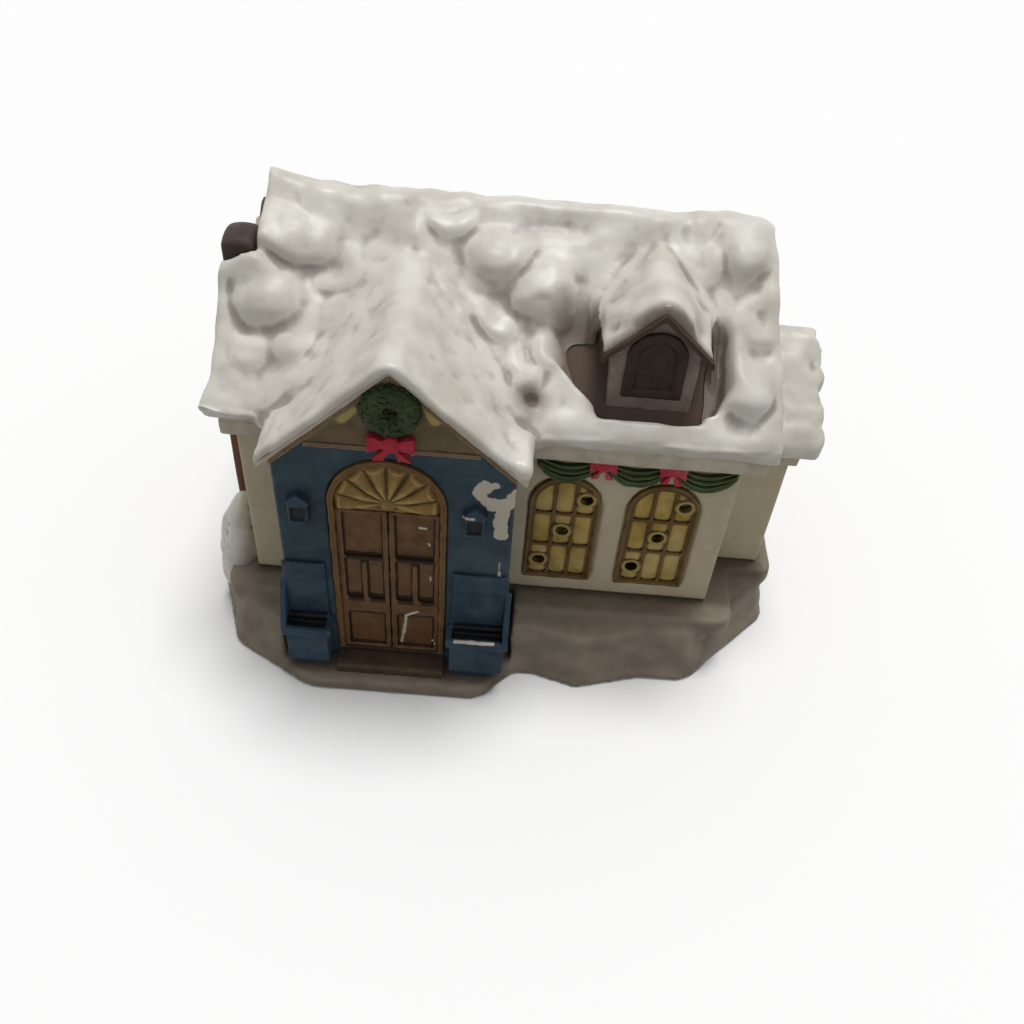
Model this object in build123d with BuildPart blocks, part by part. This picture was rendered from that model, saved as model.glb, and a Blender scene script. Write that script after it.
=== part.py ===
from build123d import *
import os
from math import asin, degrees, radians, sqrt, tan

# Ceramic village house with snow on its roofs, cast in pieces that are luted together,
# and lit from inside by a battery light that plugs into its floor.
# Lengths are in millimetres. The house faces -Y and stands on the plane z = 0.

os.makedirs("parts", exist_ok=True)

# Clearances
overrun = 2.0                 # how far a cutter runs past the face it cuts
seat_gap = 0.05               # slack around a piece that drops into its recess

# Main block
wall_length = 90.0            # left gable end to right gable end
wall_depth = 56.0             # front wall to back wall
wall_thickness = 4.0
window_rise = 3.9             # window sills above the ledge
window_height = 26.6
swag_clearance = 0.1          # between the windows and the swags
swag_drop = 5.2
swag_eave = 2.9               # tops of the swags below the top of the wall
roof_pitch = 39.9             # degrees, main roof and wing roof
roof_thickness = 3.5          # roof shell, measured upright
roof_overhang = 3.0           # roof shell past the front and back walls
left_gable_overhang = 1.9     # roof shell past the left gable end
right_gable_overhang = 3.4
snow_thickness = 4.6          # snow on the main roof, measured upright
snow_lip = 1.4                # snow past the edge of the roof shell

# Plinth: a snow bank with a level ledge that the walls stand on
ledge_height = 12.9
ledge_thickness = 4.2
ledge_reach = 5.6             # ledge past the main walls
wing_ledge_reach = 3.2        # ledge past the wing's walls
breast_ledge_reach = 0.8      # ledge past the chimney breast
bank_slope = 17.0             # degrees from upright
bank_round = 5.0              # rounding of the bank's outline
left_reach = 10.0             # bank past the left gable end
right_reach = 3.8             # bank past the wing
back_reach = 8.0              # bank past the back wall
front_reach = 6.7             # apron in front of the entry
apron_height = 2.4
apron_side = 1.6              # apron past the sides of the entry
floor_thickness = 6.0         # closed floor of the house

# Entry bay
bay_width = 41.0
bay_depth = 12.3              # facade in front of the main front wall
bay_offset = 9.0              # left edge of the bay from the left gable end
bay_wall = 4.0
door_rise = 2.8               # door sill above the apron
door_height = 49.6
moulding_rise = 3.2           # gable's moulding above the doorway
pediment_rise = 14.8          # top of the facade's gable above its moulding
bay_pitch = 43.0              # degrees, entry roof and dormer roof
bay_roof_thickness = 1.2
bay_roof_overhang = 2.0       # entry roof past the bay's sides
bay_front_overhang = 1.4      # entry roof in front of the facade
bay_snow_thickness = 2.2
bay_pocket_sill = 7.0         # hollow inside the bay
bay_pocket_top = 46.0

# Chimney against the left gable end
breast_proud = 6.0            # breast past the gable end
breast_depth = 13.0
breast_drop = 4.6             # top of the breast below the top of the walls
shoulder_height = 4.5
stack_width = 5.8             # chimney above the roof, along X
stack_depth = 7.6
stack_setback = 14.8          # front of the stack behind the front wall
stack_proud = 2.9             # stack past the left gable end
stack_rise = 2.4              # stack above the top of the gable end
stack_gap = 0.15

# Side wing
wing_length = 12.2            # wing past the right gable end
wing_depth = 31.0
wing_drop = 9.5               # wing's walls below the top of the main walls
wing_roof_overhang = 1.6      # wing roof shell past its front and back walls
wing_overhang = 1.2           # wing roof shell past its right wall

# Dormer
dormer_offset = 71.4          # middle of the dormer from the left gable end
dormer_width = 14.6
dormer_setback = 3.0          # dormer face behind the main front wall
dormer_rise = 18.8            # top of the dormer's face above its foot
dormer_roof_thickness = 1.5
dormer_roof_overhang = 2.0
dormer_front_overhang = 1.2
dormer_snow_thickness = 1.9
bare_patch_front = 1.2        # bare roof in front of the dormer
bare_patch_depth = 9.0
# Outline of the bare roof round the dormer: shares of the dormer's width and of the patch's depth
bare_patch_shares = (
    (0.79, 1.0),
    (-1.03, 1.0),
    (-0.98, 0.62),
    (-0.83, 0.26),
    (-0.62, 0.06),
    (-0.34, 0.0),
    (0.72, 0.0),
    (0.79, 0.12),
)
bare_patch_round = 1.2

# Derived places of the main block, with the whole plinth centred on the origin
total_length = left_reach + wall_length + wing_length + right_reach
total_depth = front_reach + bay_depth + wall_depth + back_reach
bank_left = -total_length / 2
bank_right = total_length / 2
bank_front = -total_depth / 2
bank_back = total_depth / 2
wall_left = bank_left + left_reach
wall_right = wall_left + wall_length
wing_right = wall_right + wing_length
facade_y = bank_front + front_reach
front_wall_y = facade_y + bay_depth
back_wall_y = front_wall_y + wall_depth
ridge_y = (front_wall_y + back_wall_y) / 2
bay_left = wall_left + bay_offset
bay_right = bay_left + bay_width
bay_x = (bay_left + bay_right) / 2
dormer_x = wall_left + dormer_offset
dormer_y = front_wall_y + dormer_setback

stack_left = wall_left - stack_proud
stack_right = stack_left + stack_width
stack_front = front_wall_y + stack_setback
stack_y = stack_front + stack_depth / 2

window_sill = ledge_height + window_rise
swag_top = window_sill + window_height + swag_clearance + swag_drop
wall_top = swag_top + swag_eave   # top of the front and back walls, outer face
door_sill = apron_height + door_rise
moulding_height = door_sill + door_height + moulding_rise
bay_apex = moulding_height + pediment_rise
breast_top = wall_top - breast_drop
wing_wall_top = wall_top - wing_drop

roof_slope = tan(radians(roof_pitch))
bay_slope = tan(radians(bay_pitch))
half_depth = wall_depth / 2
wall_apex = wall_top + half_depth * roof_slope
roof_apex = wall_apex + roof_thickness
snow_apex = roof_apex + snow_thickness
roof_span = half_depth + roof_overhang
roof_left = wall_left - left_gable_overhang
roof_right = wall_right + right_gable_overhang
stack_top = wall_apex + stack_rise
bay_roof_apex = bay_apex + bay_roof_thickness
bay_roof_span = bay_width / 2 + bay_roof_overhang
dormer_foot = wall_top + roof_thickness + dormer_setback * roof_slope
dormer_apex = dormer_foot + dormer_rise
dormer_roof_apex = dormer_apex + dormer_roof_thickness
dormer_roof_span = dormer_width / 2 + dormer_roof_overhang
wing_half = wing_depth / 2
wing_wall_apex = wing_wall_top + wing_half * roof_slope
wing_roof_apex = wing_wall_apex + roof_thickness
wing_roof_span = wing_half + wing_roof_overhang
wing_roof_right = wing_right + wing_overhang


def gable_plate(middle, span, apex, slope, thickness):
    """Bent plate of a gable roof, seen end on, with its top ridge at apex."""
    drop = span * slope
    with BuildLine() as outline:
        Polyline(
            (middle - span, apex - drop),
            (middle, apex),
            (middle + span, apex - drop),
            (middle + span, apex - drop - thickness),
            (middle, apex - thickness),
            (middle - span, apex - drop - thickness),
            close=True,
        )
    make_face(outline.edges())


def gable_wall(middle, span, foot, apex, slope):
    """Outline of a gable wall, seen end on, from its foot to its apex."""
    eave = apex - span * slope
    with BuildLine() as outline:
        Polyline(
            (middle - span, foot),
            (middle + span, foot),
            (middle + span, eave),
            (middle, apex),
            (middle - span, eave),
            close=True,
        )
    make_face(outline.edges())


def arch(middle, sill, width, height, mode=Mode.ADD):
    """Round-topped outline, seen from the front."""
    half = width / 2
    spring = sill + height - half
    with BuildLine() as outline:
        Polyline((middle - half, spring), (middle - half, sill), (middle + half, sill), (middle + half, spring))
        ThreePointArc((middle + half, spring), (middle, spring + half), (middle - half, spring))
    make_face(outline.edges(), mode=mode)


def front_plane(y):
    """Plane that faces the front, with X to the right and Z up."""
    return Plane.XZ.offset(-y)


def finish(piece, name):
    """Names a piece and writes it."""
    piece.part.label = name
    export_step(piece.part, f"parts/{name}.step")


# Floor plate: closes the house below, with a stepped hole for the light
light_x = (wall_left + wall_right) / 2
light_y = ridge_y
light_clearance = 0.3
flange_radius = 21.0
flange_thickness = 2.4
foot_gap = 0.6                # light stands this far off the ground
cup_radius = 17.4
ring_thickness = 0.8
ring_height = 2.4
hole_radius = cup_radius + ring_thickness + 2 * seat_gap
recess_depth = foot_gap + flange_thickness + light_clearance
inner_length = wall_length - 2 * wall_thickness
inner_depth = wall_depth - 2 * wall_thickness
wall_middle_x = (wall_left + wall_right) / 2

with BuildPart() as floor_plate:
    with BuildSketch():
        with Locations((wall_middle_x, ridge_y)):
            Rectangle(inner_length, inner_depth)
    extrude(amount=floor_thickness)
    with BuildSketch():
        with Locations((light_x, light_y)):
            Circle(hole_radius)
    extrude(amount=floor_thickness, mode=Mode.SUBTRACT)
    with BuildSketch():
        with Locations((light_x, light_y)):
            Circle(flange_radius + light_clearance)
    extrude(amount=recess_depth, mode=Mode.SUBTRACT)
finish(floor_plate, "floor_plate")

# Plinth: shares place the wavy front bank between the entry and the right gable end
bank_front_shares = ((0.08, 0.42), (0.38, 0.24), (0.68, 0.42), (0.94, 0.44))
bank_left_share = 0.12
bank_corner_shares = (0.62, 0.50)
bank_right_share = 0.15
bank_back_share = 0.80
bank_back_corner_share = 0.12
apron_corner = 3.4            # apron corners cut back from the sides of the entry

with BuildPart() as plinth:
    bank_points = [
        (bank_left, front_wall_y + wall_depth * bank_left_share),
        (
            bank_left + left_reach * bank_corner_shares[0],
            front_wall_y + (bank_front - front_wall_y) * bank_corner_shares[1],
        ),
        (bay_left + apron_corner, bank_front),
        (bay_right - apron_corner, bank_front),
    ]
    for across_share, out_share in bank_front_shares:
        bank_points.append((
            bay_right + (wall_right - bay_right) * across_share,
            front_wall_y + (bank_front - front_wall_y) * (1 - out_share),
        ))
    bank_points += [
        (bank_right, front_wall_y + wall_depth * bank_right_share),
        (bank_right, front_wall_y + wall_depth * bank_back_share),
        (bank_right - total_length * bank_back_corner_share, bank_back),
        (bank_left + total_length * bank_back_corner_share, bank_back),
        (bank_left, front_wall_y + wall_depth * bank_back_share),
    ]
    with BuildSketch() as bank_outline:
        with BuildLine():
            Polyline(*bank_points, close=True)
        make_face()
        fillet(bank_outline.vertices(), radius=bank_round)
    extrude(amount=ledge_height - ledge_thickness / 2, taper=bank_slope)
    with BuildSketch(Plane.XY.offset(ledge_height - ledge_thickness)) as ledge_outline:
        with Locations((wall_middle_x, ridge_y)):
            RectangleRounded(wall_length + 2 * ledge_reach, wall_depth + 2 * ledge_reach, wall_thickness)
        with Locations(((wall_right + wing_right) / 2, ridge_y)):
            RectangleRounded(wing_length + 2 * wing_ledge_reach, wing_depth + 2 * wing_ledge_reach, wing_ledge_reach)
        with Locations((wall_left - breast_proud / 2, stack_y)):
            RectangleRounded(
                breast_proud + 2 * breast_ledge_reach,
                breast_depth + 2 * breast_ledge_reach,
                breast_ledge_reach,
            )
    extrude(amount=ledge_thickness)
    with BuildSketch(Plane.XY.offset(apron_height)):
        with Locations((bay_x, (bank_front + front_wall_y) / 2)):
            Rectangle(bay_width + 2 * apron_side, front_wall_y - bank_front + 2 * seat_gap)
    extrude(amount=ledge_height, mode=Mode.SUBTRACT)
    with BuildSketch():
        with Locations((wall_middle_x, ridge_y)):
            Rectangle(inner_length, inner_depth)
    extrude(amount=ledge_height, mode=Mode.SUBTRACT)
    with BuildSketch():
        with Locations((light_x, light_y)):
            Circle(flange_radius + light_clearance)
    extrude(amount=recess_depth, mode=Mode.SUBTRACT)
finish(plinth, "plinth")

# Wall shell: four walls with gable ends, open above and below
window_width = 13.4
left_window_share = 0.235     # middle of each window across the wall beside the entry
right_window_share = 0.69
window_recess = 1.6
pane_thickness = 1.0
window_proud = 0.5            # frame in front of the wall
frame_width = 1.5
muntin_width = 1.1
light_hole_radius = 1.15
hole_ring_width = 0.7         # raised ring round each hole
window_wall_width = wall_right - bay_right
window_middles = {
    "left": bay_right + window_wall_width * left_window_share,
    "right": bay_right + window_wall_width * right_window_share,
}

pane_pitch_x = (window_width - 2 * frame_width + muntin_width) / 3
pane_pitch_z = (window_height - 2 * frame_width + muntin_width) / 3
pane_middle_z = window_sill + window_height / 2
hole_steps = (-1, 0, 1)


def light_holes(middle, radius):
    """Three circles that climb across a window, one in each row of panes."""
    with Locations([(middle + step * pane_pitch_x, pane_middle_z + step * pane_pitch_z) for step in hole_steps]):
        Circle(radius)


with BuildPart() as wall_shell:
    with BuildSketch(Plane.YZ.offset(wall_left)):
        gable_wall(ridge_y, half_depth, ledge_height, wall_apex, roof_slope)
    extrude(amount=wall_length)
    with BuildSketch(Plane.YZ.offset(wall_left + wall_thickness)):
        with Locations((ridge_y, (ledge_height + wall_apex) / 2)):
            Rectangle(inner_depth, wall_apex)
    extrude(amount=inner_length, mode=Mode.SUBTRACT)
    with BuildSketch(front_plane(front_wall_y)):
        for window_x in window_middles.values():
            arch(window_x, window_sill, window_width, window_height)
    extrude(amount=-window_recess, mode=Mode.SUBTRACT)
    with BuildSketch(front_plane(front_wall_y)):
        for window_x in window_middles.values():
            light_holes(window_x, light_hole_radius)
    extrude(amount=-wall_thickness - overrun, mode=Mode.SUBTRACT)
    with BuildSketch(front_plane(front_wall_y)):
        with Locations((bay_x, (ledge_height + bay_pocket_top) / 2)):
            Rectangle(bay_width - 2 * bay_wall, bay_pocket_top - ledge_height)
    extrude(amount=-wall_thickness - overrun, mode=Mode.SUBTRACT)
finish(wall_shell, "wall_shell")

# Windows: yellow panes in the recess of the wall, and a brown frame with glazing bars over them
window_arch_radius = window_width / 2 - seat_gap
for side, window_x in window_middles.items():
    pane_front = front_wall_y + window_recess - pane_thickness
    fitted_width = window_width - 2 * seat_gap
    fitted_height = window_height - 2 * seat_gap
    fitted_sill = window_sill + seat_gap
    with BuildPart() as panes:
        with BuildSketch(front_plane(front_wall_y + window_recess)):
            arch(window_x, fitted_sill, fitted_width, fitted_height)
        extrude(amount=pane_thickness)
        with BuildSketch(front_plane(front_wall_y + window_recess)):
            light_holes(window_x, light_hole_radius)
        extrude(amount=pane_thickness, mode=Mode.SUBTRACT)
    finish(panes, f"{side}_window_panes")

    with BuildPart() as frame:
        with BuildSketch(front_plane(pane_front)):
            arch(window_x, fitted_sill, fitted_width, fitted_height)
            arch(
                window_x,
                fitted_sill + frame_width,
                fitted_width - 2 * frame_width,
                fitted_height - 2 * frame_width,
                mode=Mode.SUBTRACT,
            )
            for step in (-1, 1):
                bar_x = step * pane_pitch_x / 2
                spring = fitted_sill + fitted_height - fitted_width / 2
                bar_top = spring + sqrt(window_arch_radius**2 - bar_x**2) - frame_width / 2
                with Locations((window_x + bar_x, (fitted_sill + bar_top) / 2)):
                    Rectangle(muntin_width, bar_top - fitted_sill)
                with Locations((window_x, pane_middle_z + step * pane_pitch_z / 2)):
                    Rectangle(fitted_width - frame_width, muntin_width)
            light_holes(window_x, light_hole_radius + hole_ring_width)
        extrude(amount=window_recess - pane_thickness + window_proud)
        with BuildSketch(front_plane(pane_front)):
            light_holes(window_x, light_hole_radius)
        extrude(amount=window_recess - pane_thickness + window_proud, mode=Mode.SUBTRACT)
    finish(frame, f"{side}_window_frame")

# Swags and bows under the eave of the window wall
swag_start = 3.5              # from the side of the entry to the first swag
swag_end = 1.1                # from the last swag to the right gable end
swag_gap = 1.5                # between swags, where the bows hang
swag_body = 3.4               # thickness of the greenery at its middle
swag_tip = 1.5                # thickness at its ends
swag_proud = 1.6
swag_names = ("left", "middle", "right")
swags_width = window_wall_width - swag_start - swag_end
swag_width = (swags_width - (len(swag_names) - 1) * swag_gap) / len(swag_names)
swag_pitch = swag_width + swag_gap
first_swag_x = bay_right + swag_start + swag_width / 2
swag_bow_width = 4.8
swag_bow_height = 2.8
bow_knot_share = 0.20
bow_waist_share = 0.30
bow_tail_share = 0.85


def bow(middle, height, width, tall):
    """Two loops, a knot and two tails, seen from the front."""
    half = width / 2
    rise = tall / 2
    waist = rise * bow_waist_share
    for hand in (-1, 1):
        with BuildLine() as outline:
            Polyline(
                (middle, height - waist),
                (middle + hand * half, height - rise),
                (middle + hand * half, height + rise),
                (middle, height + waist),
                close=True,
            )
        make_face(outline.edges())
        with BuildLine() as outline:
            Polyline(
                (middle, height),
                (middle + hand * half * bow_tail_share, height - tall),
                (middle + hand * half * bow_waist_share, height - tall),
                close=True,
            )
        make_face(outline.edges())
    with Locations((middle, height)):
        Circle(width * bow_knot_share)


for number, side in enumerate(swag_names):
    swag_x = first_swag_x + number * swag_pitch
    half_swag = swag_width / 2
    with BuildPart() as swag:
        with BuildSketch(front_plane(front_wall_y)):
            with BuildLine():
                ThreePointArc(
                    (swag_x - half_swag, swag_top),
                    (swag_x, swag_top - swag_drop + swag_body),
                    (swag_x + half_swag, swag_top),
                )
                Line((swag_x + half_swag, swag_top), (swag_x + half_swag, swag_top - swag_tip))
                ThreePointArc(
                    (swag_x + half_swag, swag_top - swag_tip),
                    (swag_x, swag_top - swag_drop),
                    (swag_x - half_swag, swag_top - swag_tip),
                )
                Line((swag_x - half_swag, swag_top - swag_tip), (swag_x - half_swag, swag_top))
            make_face()
        extrude(amount=swag_proud)
        front_edges = swag.faces().sort_by(Axis.Y)[0].edges()
        chamfer(front_edges, length=swag_tip / 3)
    finish(swag, f"{side}_swag")

swag_bow_drop = 0.4
for number, side in enumerate(("left", "right")):
    bow_x = first_swag_x + (number + 1 / 2) * swag_pitch
    with BuildPart() as swag_bow:
        with BuildSketch(front_plane(front_wall_y - swag_proud)):
            bow(bow_x, swag_top - swag_bow_drop, swag_bow_width, swag_bow_height)
        extrude(amount=swag_proud / 2)
        with BuildSketch(front_plane(front_wall_y)):
            with Locations((bow_x, swag_top - swag_bow_drop)):
                Rectangle(swag_gap - 2 * seat_gap, swag_bow_height)
        extrude(amount=swag_proud)
    finish(swag_bow, f"{side}_swag_bow")

# Entry bay: a gabled facade block, hollow behind, luted to the front wall
door_width = 20.6
door_offset = -1.2            # middle of the door from the middle of the bay
door_recess = 1.6
door_x = bay_x + door_offset
door_left = door_x - door_width / 2
door_right = door_x + door_width / 2

with BuildPart() as entry_bay:
    with BuildSketch(front_plane(front_wall_y)):
        gable_wall(bay_x, bay_width / 2, apron_height, bay_apex, bay_slope)
    extrude(amount=bay_depth)
    with BuildSketch(front_plane(front_wall_y)):
        with Locations((bay_x, (bay_pocket_sill + bay_pocket_top) / 2)):
            Rectangle(bay_width - 2 * bay_wall, bay_pocket_top - bay_pocket_sill)
    extrude(amount=bay_depth - bay_wall, mode=Mode.SUBTRACT)
    with BuildSketch(front_plane(facade_y)):
        arch(door_x, door_sill, door_width, door_height)
    extrude(amount=-door_recess, mode=Mode.SUBTRACT)
    with BuildSketch(Plane.YZ.offset(bay_left - overrun)):
        with BuildLine():
            Polyline(
                (front_wall_y, wall_top),
                (front_wall_y, bay_apex + overrun),
                (front_wall_y - roof_overhang - overrun, bay_apex + overrun),
                (front_wall_y - roof_overhang - overrun, wall_top - (roof_overhang + overrun) * roof_slope),
                close=True,
            )
        make_face()
    extrude(amount=bay_width + 2 * overrun, mode=Mode.SUBTRACT)
finish(entry_bay, "entry_bay")

# Doorway: an arched surround, two panelled leaves and a sunburst fanlight in the recess
surround_width = 1.1
surround_proud = 0.5
leaf_thickness = 1.2
leaf_gap = 0.3
spring_height = door_sill + door_height - door_width / 2
fan_drop = 2.0                # fanlight's lower edge below the arch's spring line
fan_base_height = spring_height - fan_drop
door_fit_width = door_width - 2 * seat_gap
door_fit_height = door_height - 2 * seat_gap
door_back = facade_y + door_recess
leaf_width = (door_fit_width - 2 * surround_width - leaf_gap) / 2 - seat_gap
leaf_bottom = door_sill + seat_gap
leaf_top = fan_base_height - seat_gap
leaf_height = leaf_top - leaf_bottom
panel_depth = 0.5
panel_margin = 0.9
# Rows of panels, bottom and top as shares of the leaf's height, and the panels in each row
panel_row_shares = ((0.0, 0.28), (0.39, 0.71), (0.71, 1.0))
panel_counts = (1, 2, 1)

with BuildPart() as door_surround:
    with BuildSketch(front_plane(door_back)):
        arch(door_x, door_sill + seat_gap, door_fit_width, door_fit_height)
        arch(
            door_x,
            door_sill - surround_width,
            door_fit_width - 2 * surround_width,
            door_fit_height + seat_gap,
            mode=Mode.SUBTRACT,
        )
    extrude(amount=door_recess + surround_proud)
finish(door_surround, "door_surround")

for hand, side in ((-1, "left"), (1, "right")):
    leaf_x = door_x + hand * (leaf_gap + leaf_width) / 2
    with BuildPart() as leaf:
        with BuildSketch(front_plane(door_back)):
            with Locations((leaf_x, (leaf_bottom + leaf_top) / 2)):
                Rectangle(leaf_width, leaf_height)
        extrude(amount=leaf_thickness)
        with BuildSketch(front_plane(door_back - leaf_thickness)):
            for (low_share, high_share), columns in zip(panel_row_shares, panel_counts):
                panel_height = (high_share - low_share) * leaf_height - panel_margin
                panel_width = (leaf_width - panel_margin) / columns - panel_margin
                panel_z = leaf_bottom + (low_share + high_share) / 2 * leaf_height
                with Locations((leaf_x, panel_z)):
                    with GridLocations(panel_width + panel_margin, panel_height, columns, 1):
                        Rectangle(panel_width, panel_height)
        extrude(amount=-panel_depth, mode=Mode.SUBTRACT)
    finish(leaf, f"{side}_door_leaf")

fan_radius = door_fit_width / 2 - surround_width - 2 * seat_gap
fan_rays = 9
fan_ray_width = 0.9
fan_ray_proud = 0.5
fan_boss_radius = 2.4
fan_edge = 0.8                # plain rim outside the rays
with BuildPart() as fanlight:
    with BuildSketch(front_plane(door_back)):
        with BuildLine():
            Polyline(
                (door_x - fan_radius, spring_height),
                (door_x - fan_radius, fan_base_height),
                (door_x + fan_radius, fan_base_height),
                (door_x + fan_radius, spring_height),
            )
            ThreePointArc(
                (door_x + fan_radius, spring_height),
                (door_x, spring_height + fan_radius),
                (door_x - fan_radius, spring_height),
            )
        make_face()
    extrude(amount=leaf_thickness)
    with BuildSketch(front_plane(door_back - leaf_thickness)) as ray_sketch:
        with Locations((door_x, spring_height)):
            with PolarLocations((fan_radius - fan_edge) / 2, fan_rays, 0, 180, endpoint=True):
                Rectangle(fan_radius - fan_edge, fan_ray_width)
            Circle(fan_boss_radius)
        with Locations((door_x, spring_height - fan_radius / 2)):
            Rectangle(2 * fan_radius, fan_radius, mode=Mode.SUBTRACT)
    extrude(amount=fan_ray_proud)
finish(fanlight, "fanlight")

# Doorstep and the two porch planters on the apron
step_depth = 4.2
step_height = 2.0
planter_gap = 0.6             # between the planters and the doorway
planter_depth = 4.6
planter_foot_height = 2.6
planter_height = 12.4
planter_rim_height = 2.0
planter_rim_proud = 0.7
planter_wall = 1.1
planter_hollow = 1.2          # shallow recess painted as soil
board_height = 29.2           # top of the board behind each planter
board_thickness = 0.7
board_rail_height = 24.3      # groove under the board's top rail
board_groove = 0.3
arm_height = 25.0             # top of the sloped outer arm
planter_foot_inset = 1.2
planter_proud = 0.9           # planters past the sides of the bay

with BuildPart() as doorstep:
    with BuildSketch(Plane.XY.offset(apron_height)):
        with Locations((door_x, facade_y - step_depth / 2)):
            Rectangle(door_width, step_depth)
    extrude(amount=step_height)
    fillet(doorstep.faces().sort_by(Axis.Z)[-1].edges().sort_by(Axis.Y)[0], radius=step_height / 3)
finish(doorstep, "doorstep")

planter_spans = {
    "left": (bay_left - planter_proud, door_left - planter_gap),
    "right": (door_right + planter_gap, bay_right + planter_proud),
}
for side, (low_x, high_x) in planter_spans.items():
    planter_x = (low_x + high_x) / 2
    planter_width = high_x - low_x
    body_width = planter_width - 2 * planter_rim_proud
    body_depth = planter_depth - planter_rim_proud
    planter_top = apron_height + planter_height
    with BuildPart() as planter:
        with BuildSketch(Plane.XY.offset(apron_height + planter_foot_height)):
            with Locations((planter_x, facade_y - body_depth / 2)):
                Rectangle(body_width, body_depth)
        extrude(amount=planter_height - planter_foot_height)
        with BuildSketch(Plane.XY.offset(apron_height)):
            with Locations((planter_x, facade_y - (body_depth - planter_foot_inset) / 2)):
                Rectangle(body_width - 2 * planter_foot_inset, body_depth - planter_foot_inset)
        extrude(amount=planter_foot_height)
        with BuildSketch(Plane.XY.offset(planter_top - planter_rim_height)):
            with Locations((planter_x, facade_y - planter_depth / 2)):
                Rectangle(planter_width, planter_depth)
        extrude(amount=planter_rim_height)
        with BuildSketch(Plane.XY.offset(planter_top)):
            with Locations((planter_x, facade_y - planter_depth / 2)):
                Rectangle(planter_width - 2 * planter_wall, planter_depth - 2 * planter_wall)
        extrude(amount=-planter_hollow, mode=Mode.SUBTRACT)
        with BuildSketch(front_plane(facade_y)):
            with Locations((planter_x, (planter_top + board_height) / 2)):
                Rectangle(body_width, board_height - planter_top)
        extrude(amount=board_thickness)
        with BuildSketch(front_plane(facade_y - board_thickness)):
            with Locations((planter_x, board_rail_height)):
                Rectangle(planter_width, board_groove)
            with Locations((planter_x, (planter_top + board_rail_height) / 2)):
                Rectangle(board_groove, board_rail_height - planter_top)
        extrude(amount=-board_groove, mode=Mode.SUBTRACT)
        with BuildSketch(Plane.YZ.offset(low_x if side == "left" else high_x)):
            with BuildLine():
                Polyline(
                    (facade_y, planter_top - planter_rim_height),
                    (facade_y - planter_depth, planter_top - planter_rim_height),
                    (facade_y - planter_depth, planter_top),
                    (facade_y - board_thickness, arm_height),
                    (facade_y, arm_height),
                    close=True,
                )
            make_face()
        extrude(amount=planter_wall if side == "left" else -planter_wall)
    finish(planter, f"{side}_planter")

# Wall lanterns beside the door
lantern_width = 3.4
lantern_body_height = 4.6
lantern_roof_height = 2.0
lantern_proud = 1.6
lantern_eave = 0.6
lantern_base = 40.0
lantern_pane_inset = 0.7
lantern_pane_depth = 0.4
left_lantern_share = 0.467    # middle of each lantern from the side of the bay towards the door
right_lantern_share = 0.579
lantern_places = {
    "left": bay_left + (door_left - bay_left) * left_lantern_share,
    "right": bay_right - (bay_right - door_right) * right_lantern_share,
}
for side, lantern_x in lantern_places.items():
    body_top = lantern_base + lantern_body_height
    roof_half = lantern_width / 2 + lantern_eave
    with BuildPart() as lantern:
        with BuildSketch(front_plane(facade_y)):
            with Locations((lantern_x, lantern_base + lantern_body_height / 2)):
                Rectangle(lantern_width, lantern_body_height)
            with BuildLine():
                Polyline(
                    (lantern_x - roof_half, body_top),
                    (lantern_x + roof_half, body_top),
                    (lantern_x, body_top + lantern_roof_height),
                    close=True,
                )
            make_face()
        extrude(amount=lantern_proud)
        with BuildSketch(front_plane(facade_y - lantern_proud)):
            with Locations((lantern_x, lantern_base + lantern_body_height / 2)):
                Rectangle(lantern_width - 2 * lantern_pane_inset, lantern_body_height - 2 * lantern_pane_inset)
        extrude(amount=-lantern_pane_depth, mode=Mode.SUBTRACT)
    finish(lantern, f"{side}_lantern")

# Pediment of the entry: panel, moulding below it, bargeboards, wreath and bow
barge_width = 1.4             # measured upright
barge_proud = 0.8
moulding_width = 0.9
moulding_proud = 0.8
panel_thickness = 0.5
panel_half = (bay_apex - barge_width - moulding_height) / bay_slope
wreath_radius = 2.9
wreath_tube = 1.9
wreath_sides = 10
wreath_back_width = 1.2       # ring behind the wreath that is luted to the panel
wreath_bow_width = 7.6
wreath_bow_height = 3.2
wreath_bow_proud = 1.4
wreath_bow_clearance = 0.2    # loops of the bow above the moulding, which the tails hang over

with BuildPart() as pediment_panel:
    with BuildSketch(front_plane(facade_y)):
        with BuildLine():
            Polyline(
                (bay_x - panel_half, moulding_height),
                (bay_x + panel_half, moulding_height),
                (bay_x, bay_apex - barge_width),
                close=True,
            )
        make_face()
    extrude(amount=panel_thickness)
finish(pediment_panel, "pediment_panel")

with BuildPart() as pediment_moulding:
    with BuildSketch(front_plane(facade_y)):
        with Locations((bay_x, moulding_height - moulding_width / 2)):
            Rectangle(2 * panel_half, moulding_width)
    extrude(amount=moulding_proud)
finish(pediment_moulding, "pediment_moulding")


def bargeboard(middle, span, apex, slope, hand):
    """Half of a gable's edge board, seen from the front."""
    with BuildLine() as outline:
        Polyline(
            (middle, apex),
            (middle + hand * span, apex - span * slope),
            (middle + hand * span, apex - span * slope - barge_width),
            (middle, apex - barge_width),
            close=True,
        )
    make_face(outline.edges())


for hand, side in ((-1, "left"), (1, "right")):
    with BuildPart() as board:
        with BuildSketch(front_plane(facade_y)):
            bargeboard(bay_x, bay_width / 2, bay_apex, bay_slope, hand)
        extrude(amount=barge_proud)
    finish(board, f"entry_{side}_bargeboard")

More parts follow.
